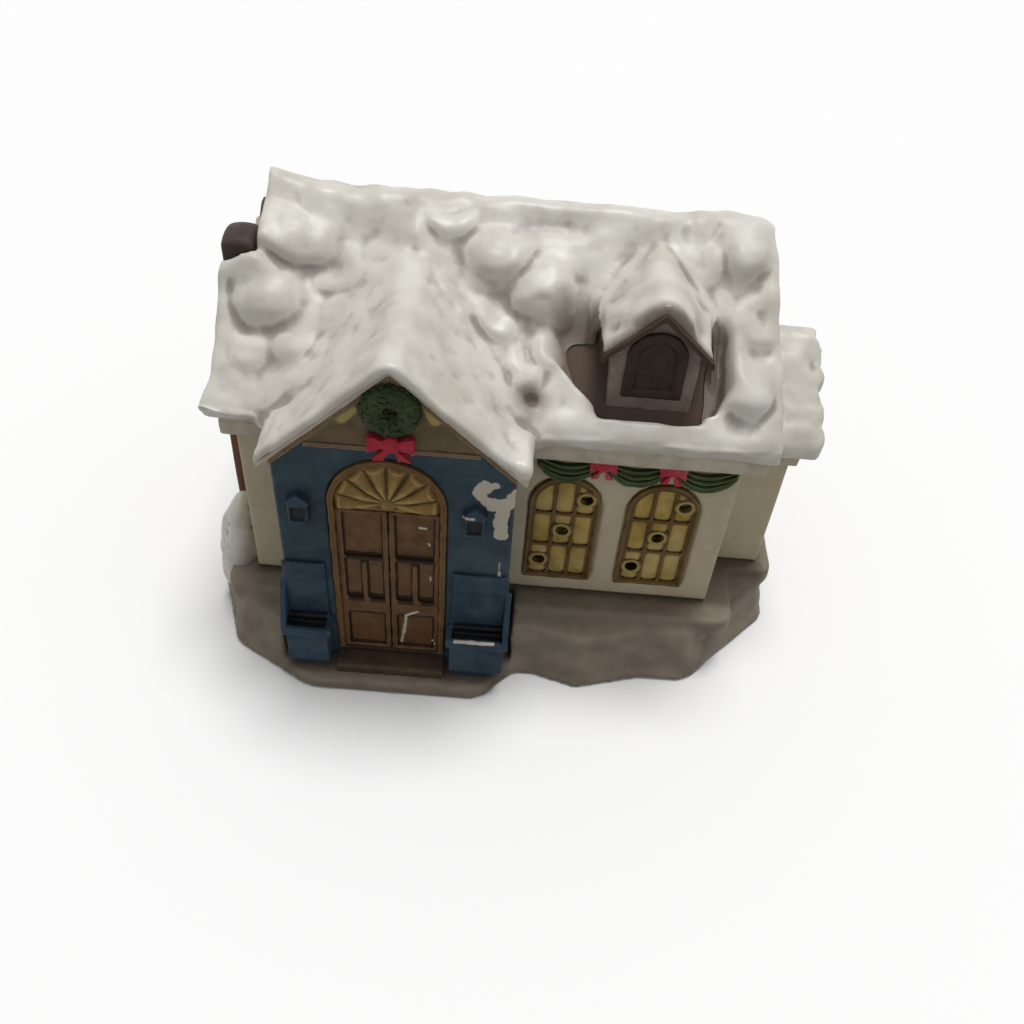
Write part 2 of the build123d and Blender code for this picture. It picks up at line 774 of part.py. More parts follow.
wreath_bow_z = moulding_height + wreath_bow_clearance + wreath_bow_height / 2
wreath_height = wreath_bow_z + wreath_bow_height / 2 + wreath_radius + wreath_tube
wreath_y = facade_y - barge_proud - seat_gap
wreath_middle = (bay_x, wreath_y, wreath_height)
with BuildPart() as wreath:
    with BuildSketch(Plane(wreath_middle, x_dir=(1, 0, 0), z_dir=(0, 0, 1))):
        with Locations((wreath_radius, 0)):
            RegularPolygon(wreath_tube, wreath_sides)
    revolve(axis=Axis(wreath_middle, (0, 1, 0)))
    split(bisect_by=front_plane(wreath_y), keep=Keep.TOP)
    with BuildSketch(front_plane(facade_y - panel_thickness)):
        with Locations((bay_x, wreath_height)):
            Circle(wreath_radius + wreath_back_width / 2)
            Circle(wreath_radius - wreath_back_width / 2, mode=Mode.SUBTRACT)
    extrude(amount=barge_proud + seat_gap - panel_thickness)
finish(wreath, "wreath")

with BuildPart() as wreath_bow:
    with BuildSketch(front_plane(facade_y - moulding_proud)):
        bow(bay_x, wreath_bow_z, wreath_bow_width, wreath_bow_height)
    extrude(amount=wreath_bow_proud)
finish(wreath_bow, "wreath_bow")

# Main roof shell: its rakes lean in towards the ridge, and the left one steps in behind the chimney
left_setback = 3.1            # left end of the ridge, in from the eave's end
right_setback = 3.2
eave_front = ridge_y - roof_span
eave_back = ridge_y + roof_span

with BuildPart() as main_roof:
    with BuildSketch(Plane.YZ.offset(roof_left)):
        gable_plate(ridge_y, roof_span, roof_apex, roof_slope, roof_thickness)
    extrude(amount=roof_right - roof_left)
    with BuildSketch():
        with BuildLine():
            Polyline(
                (roof_left, eave_front),
                (roof_right, eave_front),
                (roof_right - right_setback, ridge_y),
                (roof_right, eave_back),
                (roof_left, eave_back),
                (roof_left + left_setback, ridge_y),
                (roof_left + left_setback, stack_front),
                (roof_left, stack_front),
                close=True,
            )
        make_face()
    extrude(amount=roof_apex, mode=Mode.INTERSECT)
finish(main_roof, "main_roof")

# Space under the outside of the main roof shell, which the roofs that run into it stop at
with BuildPart() as main_roof_core:
    with BuildSketch(Plane.YZ.offset(roof_left - overrun)):
        gable_wall(ridge_y, roof_span, ledge_height, roof_apex, roof_slope)
    extrude(amount=roof_right - roof_left + 2 * overrun)

with BuildPart() as entry_roof:
    with BuildSketch(front_plane(facade_y - bay_front_overhang)):
        gable_plate(bay_x, bay_roof_span, bay_roof_apex, bay_slope, bay_roof_thickness)
    extrude(amount=-(ridge_y - facade_y + bay_front_overhang))
    add(main_roof_core.part, mode=Mode.SUBTRACT)
finish(entry_roof, "entry_roof")

with BuildPart() as wing_roof:
    with BuildSketch(Plane.YZ.offset(wall_right)):
        gable_plate(ridge_y, wing_roof_span, wing_roof_apex, roof_slope, roof_thickness)
    extrude(amount=wing_roof_right - wall_right)
finish(wing_roof, "wing_roof")

# Side wing: a lower gabled block against the right gable end
with BuildPart() as side_wing:
    with BuildSketch(Plane.YZ.offset(wall_right)):
        gable_wall(ridge_y, wing_half, ledge_height, wing_wall_apex, roof_slope)
    extrude(amount=wing_length)
finish(side_wing, "side_wing")

# Chimney against the left gable end: a wide breast with sloped shoulders, and a stack through the eave
with BuildPart() as end_chimney:
    with BuildSketch(Plane.XY.offset(ledge_height)):
        with Locations((wall_left - breast_proud / 2, stack_y)):
            Rectangle(breast_proud, breast_depth)
    extrude(amount=breast_top - shoulder_height - ledge_height)
    with BuildSketch(Plane.XY.offset(breast_top - shoulder_height)):
        with Locations((wall_left - breast_proud / 2, stack_y)):
            Rectangle(breast_proud, breast_depth)
    with BuildSketch(Plane.XY.offset(breast_top)):
        with Locations((wall_left - stack_proud / 2, stack_y)):
            Rectangle(stack_proud, stack_depth)
    loft()
    with BuildSketch(Plane.XY.offset(breast_top)):
        with Locations((stack_left + stack_width / 2, stack_y)):
            Rectangle(stack_width, stack_depth)
    extrude(amount=stack_top - breast_top)
    add(wall_shell.part, mode=Mode.SUBTRACT)
    add(main_roof.part, mode=Mode.SUBTRACT)
finish(end_chimney, "end_chimney")

# Dormer: body, roof, window and bargeboards
dormer_window_width = 10.2
dormer_window_height = 13.0
dormer_window_rise = 3.0      # window sill above the foot of the dormer's face
dormer_ring_width = 1.7
dormer_ring_proud = 0.9
dormer_glass_thickness = 0.5

with BuildPart() as dormer_body:
    with BuildSketch(front_plane(dormer_y)):
        gable_wall(dormer_x, dormer_width / 2, wall_top, dormer_apex, bay_slope)
    extrude(amount=-(ridge_y - dormer_y))
    add(main_roof_core.part, mode=Mode.SUBTRACT)
finish(dormer_body, "dormer_body")

with BuildPart() as dormer_roof:
    with BuildSketch(front_plane(dormer_y - dormer_front_overhang)):
        gable_plate(dormer_x, dormer_roof_span, dormer_roof_apex, bay_slope, dormer_roof_thickness)
    extrude(amount=-(ridge_y - dormer_y + dormer_front_overhang))
    add(main_roof_core.part, mode=Mode.SUBTRACT)
finish(dormer_roof, "dormer_roof")

dormer_sill = dormer_foot + dormer_window_rise
with BuildPart() as dormer_window:
    with BuildSketch(front_plane(dormer_y)):
        arch(dormer_x, dormer_sill, dormer_window_width, dormer_window_height)
    extrude(amount=dormer_ring_proud)
    with BuildSketch(front_plane(dormer_y - dormer_ring_proud)):
        arch(
            dormer_x,
            dormer_sill + dormer_ring_width,
            dormer_window_width - 2 * dormer_ring_width,
            dormer_window_height - 2 * dormer_ring_width,
        )
    extrude(amount=-(dormer_ring_proud - dormer_glass_thickness), mode=Mode.SUBTRACT)
finish(dormer_window, "dormer_window")

for hand, side in ((-1, "left"), (1, "right")):
    with BuildPart() as board:
        with BuildSketch(front_plane(dormer_y - dormer_front_overhang)):
            bargeboard(dormer_x, dormer_roof_span, dormer_roof_apex, bay_slope, hand)
        extrude(amount=barge_proud)
    finish(board, f"dormer_{side}_bargeboard")

# Snow on the main roof, the entry roof and the dormer: one rounded blanket with lumps and hollows
ridge_round = 4.0             # rounding of the main ridge
edge_round = 4.6              # rounding of the eaves' edges
entry_ridge_round = 4.0
entry_edge_round = 1.6
dormer_ridge_round = 3.4
lump_radius = 15.0            # lumps and hollows are shallow caps of balls of this radius
lump_height = 1.6
lump_foot = 1.5               # foot of each lump inside the snow
# Lumps and hollows: share across the roof, share from front eave to back eave, share of the height
snow_lump_shares = (
    (0.09, 0.25, 1.0),
    (0.09, 0.36, 0.9),
    (0.48, 0.35, 0.9),
    (0.56, 0.29, 0.9),
    (0.90, 0.40, 0.7),
    (0.92, 0.13, 0.8),
    (0.20, 0.70, 0.9),
    (0.58, 0.80, 0.9),
    (0.84, 0.66, 0.7),
)
snow_hollow_shares = (
    (0.19, 0.29, 0.4),
    (0.57, 0.19, 0.5),
    (0.95, 0.26, 0.4),
    (0.42, 0.66, 0.7),
    (0.80, 0.86, 0.6),
)
snow_left = roof_left - snow_lip
snow_right = roof_right + snow_lip
snow_front = eave_front - snow_lip
snow_back = eave_back + snow_lip
snow_notch_x = stack_right + stack_gap
snow_notch_y = stack_front - stack_gap
entry_half = bay_roof_span + snow_lip
entry_front = facade_y - bay_front_overhang - snow_lip
entry_snow_apex = bay_roof_apex + bay_snow_thickness
snow_foot = bay_roof_apex - (entry_half + seat_gap) * bay_slope
dormer_front = dormer_y - dormer_front_overhang


def snow_places(shares, rise):
    """Planes on the main roof's snow, each with its own height, that face away from the roof."""
    for across_share, along_share, height_share in shares:
        x = snow_left + (snow_right - snow_left) * across_share
        y = snow_front + (snow_back - snow_front) * along_share
        outward = Vector(0, roof_slope if y > ridge_y else -roof_slope, 1).normalized()
        surface = Vector(x, y, snow_apex - abs(y - ridge_y) * roof_slope)
        yield surface, outward, rise * height_share


def snow_plate(sketch, middle, span, apex, slope, thickness, top_round, end_round):
    """Bent plate of snow, seen end on, with its ridge and the tops of its ends rounded."""
    gable_plate(middle, span, apex, slope, thickness)
    by_height = sketch.vertices().sort_by(Axis.Y)
    fillet(by_height[-1], radius=top_round)
    ends = sketch.vertices().filter_by_position(Axis.Y, apex - span * slope - seat_gap, apex - span * slope + seat_gap)
    fillet(ends, radius=end_round)


bare_patch_points = []
for across_share, along_share in bare_patch_shares:
    bare_patch_points.append((
        dormer_x + dormer_width * across_share,
        dormer_y - bare_patch_front + bare_patch_depth * along_share,
    ))

# Spaces under the outside of the roof shells, taken out of the snow
with BuildPart() as snow_core:
    with BuildSketch(Plane.YZ.offset(snow_left - overrun)):
        gable_wall(ridge_y, roof_span + snow_lip + seat_gap, ledge_height, roof_apex, roof_slope)
    extrude(amount=snow_right - snow_left + 2 * overrun)

with BuildPart() as entry_core:
    with BuildSketch(front_plane(entry_front - overrun)):
        gable_wall(bay_x, entry_half + seat_gap, ledge_height, bay_roof_apex, bay_slope)
    extrude(amount=-(ridge_y - entry_front + overrun))

with BuildPart() as dormer_core:
    with BuildSketch(front_plane(dormer_front - barge_proud - overrun)):
        gable_wall(dormer_x, dormer_roof_span, wall_top, dormer_roof_apex, bay_slope)
    extrude(amount=-(ridge_y - dormer_front + barge_proud + overrun))

with BuildPart() as roof_snow:
    with BuildSketch(Plane.YZ.offset(snow_left)) as main_plate:
        snow_plate(
            main_plate,
            ridge_y,
            roof_span + snow_lip,
            snow_apex,
            roof_slope,
            snow_thickness,
            ridge_round,
            edge_round,
        )
    extrude(amount=snow_right - snow_left)
    with BuildSketch(Plane.XY.offset(wall_top)) as bare_patch:
        with BuildLine():
            Polyline(*bare_patch_points, close=True)
        make_face()
        fillet(bare_patch.vertices(), radius=bare_patch_round)
    extrude(amount=snow_apex, mode=Mode.SUBTRACT)
    for surface, outward, rise in snow_places(snow_lump_shares, lump_height):
        foot_angle = degrees(asin((lump_radius - rise - lump_foot) / lump_radius))
        with Locations(Plane(surface - outward * lump_foot, z_dir=outward)):
            Sphere(lump_radius, arc_size1=foot_angle, align=(Align.CENTER, Align.CENTER, Align.MIN))
    with BuildSketch(front_plane(entry_front)) as entry_plate:
        snow_plate(
            entry_plate,
            bay_x,
            entry_half,
            entry_snow_apex,
            bay_slope,
            bay_snow_thickness,
            entry_ridge_round,
            entry_edge_round,
        )
    extrude(amount=-(ridge_y - entry_front))
    with BuildSketch(Plane.XY.offset(snow_foot)):
        with BuildLine():
            Polyline(
                (snow_left, snow_front),
                (bay_x - entry_half, snow_front),
                (bay_x - entry_half, entry_front),
                (bay_x + entry_half, entry_front),
                (bay_x + entry_half, snow_front),
                (snow_right, snow_front),
                (snow_right - right_setback, ridge_y),
                (snow_right, snow_back),
                (snow_left, snow_back),
                (snow_notch_x, ridge_y),
                (snow_notch_x, snow_notch_y),
                (snow_left, snow_notch_y),
                close=True,
            )
        make_face()
    extrude(amount=snow_apex, mode=Mode.INTERSECT)
    with BuildSketch(front_plane(dormer_front)) as dormer_plate:
        snow_plate(
            dormer_plate,
            dormer_x,
            dormer_roof_span,
            dormer_roof_apex + dormer_snow_thickness,
            bay_slope,
            dormer_snow_thickness,
            dormer_ridge_round,
            entry_edge_round,
        )
    extrude(amount=-(ridge_y - dormer_front))
    add(snow_core.part, mode=Mode.SUBTRACT)
    add(entry_core.part, mode=Mode.SUBTRACT)
    add(dormer_core.part, mode=Mode.SUBTRACT)
    for surface, outward, depth in snow_places(snow_hollow_shares, lump_height):
        with Locations(Plane(surface + outward * (lump_radius - depth), z_dir=outward)):
            Sphere(lump_radius, mode=Mode.SUBTRACT)
finish(roof_snow, "roof_snow")

# Snow on the side wing's roof, with a wavy edge over the right wall
wing_snow_thickness = 3.2
wing_snow_lip = 1.2
wing_edge_round = 3.0
wave_depth = 0.8              # waves of the right edge
wave_shares = (1.4, 2.0, 1.0, 1.5, 0.2, -0.3, 0.6, -0.1, 0.7, 0.0)
wing_snow_half = wing_roof_span + wing_snow_lip
wing_snow_right = wing_roof_right + wing_snow_lip
wing_snow_apex = wing_roof_apex + wing_snow_thickness
wing_snow_front = ridge_y - wing_snow_half
wing_snow_back = ridge_y + wing_snow_half
wing_edge = []
for number, wave_share in enumerate(wave_shares):
    along = number / (len(wave_shares) - 1)
    wing_edge.append((
        wing_snow_right + wave_depth * wave_share,
        wing_snow_front + (wing_snow_back - wing_snow_front) * along,
    ))

with BuildPart() as wing_snow_core:
    with BuildSketch(Plane.YZ.offset(wall_right - overrun)):
        gable_wall(ridge_y, wing_snow_half + seat_gap, ledge_height, wing_roof_apex, roof_slope)
    extrude(amount=wing_snow_right - wall_right + wave_depth + 2 * overrun)

with BuildPart() as wing_snow:
    with BuildSketch(Plane.YZ.offset(wall_right)) as wing_plate:
        snow_plate(
            wing_plate,
            ridge_y,
            wing_snow_half,
            wing_snow_apex,
            roof_slope,
            wing_snow_thickness,
            ridge_round,
            wing_edge_round,
        )
    extrude(amount=wing_snow_right - wall_right + wave_depth + overrun)
    with BuildSketch(Plane.XY.offset(ledge_height)):
        with BuildLine():
            Spline(*wing_edge)
            Polyline(
                wing_edge[-1],
                (wall_right, wing_snow_back),
                (wall_right, wing_snow_front),
                wing_edge[0],
            )
        make_face()
    extrude(amount=wing_snow_apex, mode=Mode.INTERSECT)
    add(wing_snow_core.part, mode=Mode.SUBTRACT)
finish(wing_snow, "wing_snow")

# Snowy shrub on the plinth at the left front corner: a low mound with a smaller one on top
shrub_radius = 4.6
shrub_top_radius = 3.9
shrub_reach = 5.2             # middle of the lower mound past the left gable end
shrub_setback = 5.4           # behind the front wall
shrub_rise = 9.6
shrub_top_reach = 4.6
shrub_top_setback = 6.4
shrub_top_rise = 17.0

shrub_sides = 14


def mound(middle, radius):
    """Round lump turned from a many-sided half outline."""
    with BuildSketch(Plane(middle, x_dir=(1, 0, 0), z_dir=(0, -1, 0))) as half_outline:
        RegularPolygon(radius, shrub_sides, rotation=90)
        with Locations((-radius, 0)):
            Rectangle(2 * radius, 2 * radius, mode=Mode.SUBTRACT)
    revolve(half_outline.sketch, axis=Axis(middle, (0, 0, 1)))


with BuildPart() as snowy_shrub:
    mound((wall_left - shrub_reach, front_wall_y + shrub_setback, shrub_rise), shrub_radius)
    mound((wall_left - shrub_top_reach, front_wall_y + shrub_top_setback, shrub_top_rise), shrub_top_radius)
    add(plinth.part, mode=Mode.SUBTRACT)
    add(wall_shell.part, mode=Mode.SUBTRACT)
    add(end_chimney.part, mode=Mode.SUBTRACT)
finish(snowy_shrub, "snowy_shrub")

# Battery light: a flanged base with a cup over two coin cells, a board, a lamp and a slide switch
cup_height = 16.0
cup_wall = 1.4
cell_radius = 10.0
cell_height = 3.2
cell_count = 2
cell_offset = -4.5            # cells from the middle of the light, along X
cell_slack = 0.4
cover_margin = 1.4            # cover past the cells
cover_thickness = 1.2
cover_groove_length = 11.0
cover_groove_width = 1.4
cover_groove_depth = 0.6
boss_radius = 6.0
lamp_radius = 2.5
lamp_slack = 0.7
lamp_height = 5.0             # lamp's straight part
circuit_thickness = 1.6
board_slack = 0.3
switch_offset = 11.5          # switch from the middle of the light, along X
switch_length = 8.0
switch_width = 5.0
switch_height = 4.0
knob_length = 2.6
knob_width = 2.4
knob_travel = 3.0
knob_rise = 1.0               # knob inside the switch
strip_thickness = 0.4
strip_width = 5.0
strip_length = 9.0

base_top = foot_gap + flange_thickness
cup_top = base_top + cup_height
board_top = cup_top - cup_wall
board_bottom = board_top - circuit_thickness
cell_x = light_x + cell_offset
cell_bottom = base_top + light_clearance
cell_top = cell_bottom + cell_count * cell_height
cover_radius = cell_radius + cover_margin
cover_top = foot_gap + cover_thickness
switch_x = light_x + switch_offset
slot_length = knob_length + knob_travel + 2 * light_clearance
slot_width = knob_width + 2 * light_clearance
knob_x = switch_x - knob_travel / 2

with BuildPart() as light_base:
    with BuildSketch(Plane.XY.offset(foot_gap)):
        with Locations((light_x, light_y)):
            Circle(flange_radius)
        with Locations((cell_x, light_y)):
            Circle(cell_radius + cell_slack, mode=Mode.SUBTRACT)
        with Locations((switch_x, light_y)):
            Rectangle(slot_length, slot_width, mode=Mode.SUBTRACT)
    extrude(amount=flange_thickness)
    with BuildSketch(Plane.XY.offset(foot_gap)):
        with Locations((cell_x, light_y)):
            Circle(cover_radius + light_clearance)
    extrude(amount=cover_thickness + light_clearance, mode=Mode.SUBTRACT)
finish(light_base, "light_base")

with BuildPart() as light_housing:
    with BuildSketch(Plane.XY.offset(base_top)):
        with Locations((light_x, light_y)):
            Circle(cup_radius)
    extrude(amount=cup_height)
    with BuildSketch(Plane.XY.offset(base_top)):
        with Locations((light_x, light_y)):
            Circle(cup_radius - cup_wall)
    extrude(amount=cup_height - cup_wall, mode=Mode.SUBTRACT)
    with BuildSketch(Plane.XY.offset(base_top)):
        with Locations((light_x, light_y)):
            Circle(lamp_radius + lamp_slack)
    extrude(amount=cup_height, mode=Mode.SUBTRACT)
    top_edges = light_housing.edges().filter_by(GeomType.CIRCLE).group_by(Axis.Z)[-1].sort_by(SortBy.RADIUS)
    chamfer(top_edges[-1], length=cup_wall / 2)
finish(light_housing, "light_housing")

with BuildPart() as retaining_ring:
    with BuildSketch(Plane.XY.offset(recess_depth + light_clearance)):
        with Locations((light_x, light_y)):
            Circle(hole_radius - seat_gap)
            Circle(cup_radius + seat_gap, mode=Mode.SUBTRACT)
    extrude(amount=ring_height)
finish(retaining_ring, "retaining_ring")

with BuildPart() as circuit_board:
    with BuildSketch(Plane.XY.offset(board_bottom)):
        with Locations((light_x, light_y)):
            Circle(cup_radius - cup_wall - board_slack)
    extrude(amount=circuit_thickness)
finish(circuit_board, "circuit_board")

with BuildPart() as led_lamp:
    with BuildSketch(Plane.XY.offset(board_top)):
        with Locations((light_x, light_y)):
            Circle(lamp_radius)
    extrude(amount=lamp_height)
    with Locations((light_x, light_y, board_top + lamp_height)):
        Sphere(lamp_radius)
finish(led_lamp, "led_lamp")

with BuildPart() as coin_cells:
    with BuildSketch(Plane.XY.offset(cell_bottom)):
        with Locations((cell_x, light_y)):
            Circle(cell_radius)
    extrude(amount=cell_count * cell_height)
finish(coin_cells, "coin_cells")

with BuildPart() as contact_spring:
    with BuildSketch(front_plane(light_y + strip_width / 2)):
        with BuildLine():
            Polyline(
                (cell_x - strip_length / 2, cell_top),
                (cell_x + strip_length / 2, cell_top),
                (cell_x, board_bottom - strip_thickness),
                (cell_x + strip_length / 2, board_bottom - strip_thickness),
                (cell_x + strip_length / 2, board_bottom),
                (cell_x - strip_thickness, board_bottom),
                (cell_x + strip_length / 2 - 2 * strip_thickness, cell_top + strip_thickness),
                (cell_x - strip_length / 2, cell_top + strip_thickness),
                close=True,
            )
        make_face()
    extrude(amount=strip_width)
finish(contact_spring, "contact_spring")

with BuildPart() as switch_body:
    with BuildSketch(Plane.XY.offset(base_top)):
        with Locations((switch_x, light_y)):
            Rectangle(switch_length, switch_width)
    extrude(amount=switch_height)
    with BuildSketch(Plane.XY.offset(base_top)):
        with Locations((switch_x, light_y)):
            Rectangle(slot_length, slot_width)
    extrude(amount=knob_rise + light_clearance, mode=Mode.SUBTRACT)
finish(switch_body, "switch_body")

with BuildPart() as switch_knob:
    with BuildSketch(Plane.XY.offset(foot_gap)):
        with Locations((knob_x, light_y)):
            Rectangle(knob_length, knob_width)
    extrude(amount=flange_thickness + knob_rise)
finish(switch_knob, "switch_knob")

with BuildPart() as battery_cover:
    with BuildSketch(Plane.XY.offset(foot_gap)):
        with Locations((cell_x, light_y)):
            Circle(cover_radius)
    extrude(amount=cover_thickness)
    with BuildSketch(Plane.XY.offset(cover_top)):
        with Locations((cell_x, light_y)):
            Circle(boss_radius)
    extrude(amount=cell_bottom - light_clearance - cover_top)
    with BuildSketch(Plane.XY.offset(foot_gap)):
        with Locations((cell_x, light_y)):
            SlotOverall(cover_groove_length, cover_groove_width)
    extrude(amount=cover_groove_depth, mode=Mode.SUBTRACT)
finish(battery_cover, "battery_cover")
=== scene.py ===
import math
import bmesh
import bpy
import numpy as np
from mathutils import Matrix, Vector, noise


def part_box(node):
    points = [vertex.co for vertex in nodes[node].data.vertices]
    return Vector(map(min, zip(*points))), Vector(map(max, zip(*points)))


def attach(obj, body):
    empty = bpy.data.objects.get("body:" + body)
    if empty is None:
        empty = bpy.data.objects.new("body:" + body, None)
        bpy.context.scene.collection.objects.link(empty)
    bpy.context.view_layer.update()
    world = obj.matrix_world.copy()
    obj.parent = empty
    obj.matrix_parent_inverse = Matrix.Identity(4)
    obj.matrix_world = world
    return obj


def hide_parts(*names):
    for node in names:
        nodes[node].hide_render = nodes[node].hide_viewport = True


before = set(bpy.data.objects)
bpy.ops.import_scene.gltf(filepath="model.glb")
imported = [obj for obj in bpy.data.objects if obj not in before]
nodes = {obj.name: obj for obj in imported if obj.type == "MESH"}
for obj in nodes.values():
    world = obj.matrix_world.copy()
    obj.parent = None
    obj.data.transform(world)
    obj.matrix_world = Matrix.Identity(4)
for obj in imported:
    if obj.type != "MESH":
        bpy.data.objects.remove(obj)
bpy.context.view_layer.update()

# Floor plate: the bottom of the cast, left unglazed so that it doesn't stick to the kiln shelf.
# It is bare fired clay, chalky and a little grey from handling, luted inside the plinth.
MM = 0.001
STEP = {"interpolation_type": "SMOOTHSTEP"}
TINT = {"data_type": "RGBA"}
TIMES_PLUS = {"operation": "MULTIPLY_ADD"}
LESS = {"operation": "SUBTRACT"}
stroke_width, cloud_width, speck_width, ragged_width = 2.6 * MM, 9 * MM, 0.8 * MM, 1.5 * MM
glaze_lift = 0.1 * MM


def srgb(code):
    """Linear RGBA of an sRGB hex colour."""
    parts = [int(code[i:i + 2], 16) / 255 for i in (1, 3, 5)]
    return (*[p / 12.92 if p <= 0.04045 else ((p + 0.055) / 1.055) ** 2.4 for p in parts], 1.0)


def add(tree, kind, settings=(), sockets=()):
    """Adds a node with its settings. A socket's value is linked if it is a socket itself."""
    node = tree.nodes.new(kind)
    for key, value in dict(settings).items():
        setattr(node, key, value)
    for key, value in dict(sockets).items():
        if isinstance(value, bpy.types.NodeSocket):
            tree.links.new(value, node.inputs[key])
        else:
            node.inputs[key].default_value = value
    return node


def new_finish(name):
    """A new material with its tree and its shader."""
    material = bpy.data.materials.new(name)
    material.use_nodes = True
    return material, material.node_tree, material.node_tree.nodes["Principled BSDF"]


def glaze(name, colour, dark_and_shade, worn, rough=0.44, gloss=0.12, mottle=0.4, wear=0.6, crisp=1.0, marks=()):
    """Ceramic colour brushed on by hand and fired, so it shows strokes, thin clouds and a soft sheen.

    It is darkened where the attribute bend says hollow, which is painted shade, and turns pale on edges and
    ridges, which is wear and painted highlight; crisp is higher on small pieces. Each mark names an
    attribute, a distance in millimetres that is below zero inside, then the colour there and how ragged and
    how soft its edge is, in millimetres."""
    material, tree, shader = new_finish(name)
    place = add(tree, "ShaderNodeTexCoord").outputs["Object"]
    bend = add(tree, "ShaderNodeAttribute", {"attribute_name": "bend"}).outputs["Fac"]
    brush, cloud, speck = (
        add(tree, "ShaderNodeTexNoise", (), {0: place, "Scale": 1 / width, "Detail": detail}).outputs[0]
        for width, detail in ((stroke_width, 5.0), (cloud_width, 2.0), (speck_width, 4.0))
    )
    limits = {"Value": brush, "From Min": 0.38, "From Max": 0.72, "To Max": mottle}
    thick = add(tree, "ShaderNodeMapRange", STEP, limits).outputs[0]
    limits = {"Value": cloud, "From Min": 0.4, "From Max": 0.7, "To Max": 0.3}
    thin = add(tree, "ShaderNodeMapRange", STEP, limits).outputs[0]
    tone = add(tree, "ShaderNodeMix", TINT, {0: thick, 6: srgb(colour), 7: srgb(dark_and_shade)}).outputs[2]
    tone = add(tree, "ShaderNodeMix", TINT, {0: thin, 6: tone, 7: srgb(worn)}).outputs[2]
    # Hollows are darkened toward the dark colour: painted shade.
    limits = {"Value": bend, "From Min": 0.1 * crisp, "From Max": 1.1 * crisp}
    painted_shade = add(tree, "ShaderNodeMapRange", STEP, limits).outputs[0]
    tone = add(tree, "ShaderNodeMix", TINT, {0: painted_shade, 6: tone, 7: srgb(dark_and_shade)}).outputs[2]
    # Edges and ridges turn pale: wear, and on small ridges a painted highlight.
    wear_and_highlight = add(tree, "ShaderNodeMath", TIMES_PLUS, {0: speck, 1: 1.6, 2: -0.9}).outputs[0]
    wear_and_highlight = add(tree, "ShaderNodeMath", LESS, {0: wear_and_highlight, 1: bend}).outputs[0]
    limits = {"Value": wear_and_highlight, "From Min": 0.6 * crisp, "From Max": 1.8 * crisp, "To Max": wear}
    wear_and_highlight = add(tree, "ShaderNodeMapRange", STEP, limits).outputs[0]
    tone = add(tree, "ShaderNodeMix", TINT, {0: wear_and_highlight, 6: tone, 7: srgb(worn)}).outputs[2]
    for mark, mark_colour, ragged, soft in marks:
        gap = add(tree, "ShaderNodeAttribute", {"attribute_name": mark}).outputs["Fac"]
        sockets = {"Vector": place, "Scale": 1 / ragged_width, "Detail": 5.0}
        edge = add(tree, "ShaderNodeTexNoise", (), sockets).outputs[0]
        edge = add(tree, "ShaderNodeMath", LESS, {0: edge, 1: 0.5}).outputs[0]
        gap = add(tree, "ShaderNodeMath", TIMES_PLUS, {0: edge, 1: ragged, 2: gap}).outputs[0]
        limits = {"Value": gap, "From Min": soft, "From Max": -soft}
        inside = add(tree, "ShaderNodeMapRange", STEP, limits).outputs[0]
        tone = add(tree, "ShaderNodeMix", TINT, {0: inside, 6: tone, 7: srgb(mark_colour)}).outputs[2]
    tree.links.new(tone, shader.inputs["Base Color"])
    limits = {"Value": brush, "From Min": 0.3, "From Max": 0.7, "To Min": rough - 0.06, "To Max": rough + 0.1}
    tree.links.new(add(tree, "ShaderNodeMapRange", STEP, limits).outputs[0], shader.inputs["Roughness"])
    height = add(tree, "ShaderNodeMath", TIMES_PLUS, {0: speck, 1: 0.3, 2: brush}).outputs[0]
    sockets = {"Strength": 0.35, "Distance": glaze_lift, "Height": height}
    tree.links.new(add(tree, "ShaderNodeBump", (), sockets).outputs[0], shader.inputs["Normal"])
    shader.inputs["Specular IOR Level"].default_value = gloss
    return material


def dress(node, material):
    """Gives a CAD node that stays in view its own finish."""
    nodes[node].data.materials.clear()
    nodes[node].data.materials.append(material)


# Bare clay is matt, with no shine.
dress("floor_plate", glaze("unglazed_fired_clay", "#c9c2b4", "#8f8675", "#ddd7ca", rough=0.75))

# Plinth: a press-moulded snow bank with a level ledge, hollow in the middle and glazed greyish white.
# Its sides were modelled by hand in soft drifts, and along the walls' foot grime and painted shade darken it.
scene = bpy.context.scene
merge_gap = 1e-6
slip_factor = 0.5
far_off = 3.0


def numbers(collection, key, width):
    """Values of a mesh collection as rows of numbers."""
    values = np.empty(len(collection) * width)
    collection.foreach_get(key, values)
    return values.reshape(-1, width)


def neighbours_mean(values, ends, count):
    """Mean over each point's neighbours."""
    total = np.zeros_like(values)
    for start, end in (ends.T, ends.T[::-1]):
        for column in range(values.shape[1]):
            total[:, column] += np.bincount(start, values[end, column], count)
    return total / np.maximum(np.bincount(ends.ravel(), minlength=count), 1)[:, None]


def node_copy(*names):
    """Merged copy of CAD nodes, in millimetres."""
    work = bmesh.new()
    for name in names:
        work.from_mesh(nodes[name].data)
    bmesh.ops.remove_doubles(work, verts=work.verts, dist=merge_gap)
    work.transform(Matrix.Scale(1 / MM, 4))
    return work


def applied(piece):
    """Turns a piece's modifiers into its mesh."""
    mesh = bpy.data.meshes.new_from_object(piece.evaluated_get(bpy.context.evaluated_depsgraph_get()))
    piece.modifiers.clear()
    piece.data = mesh
    return mesh


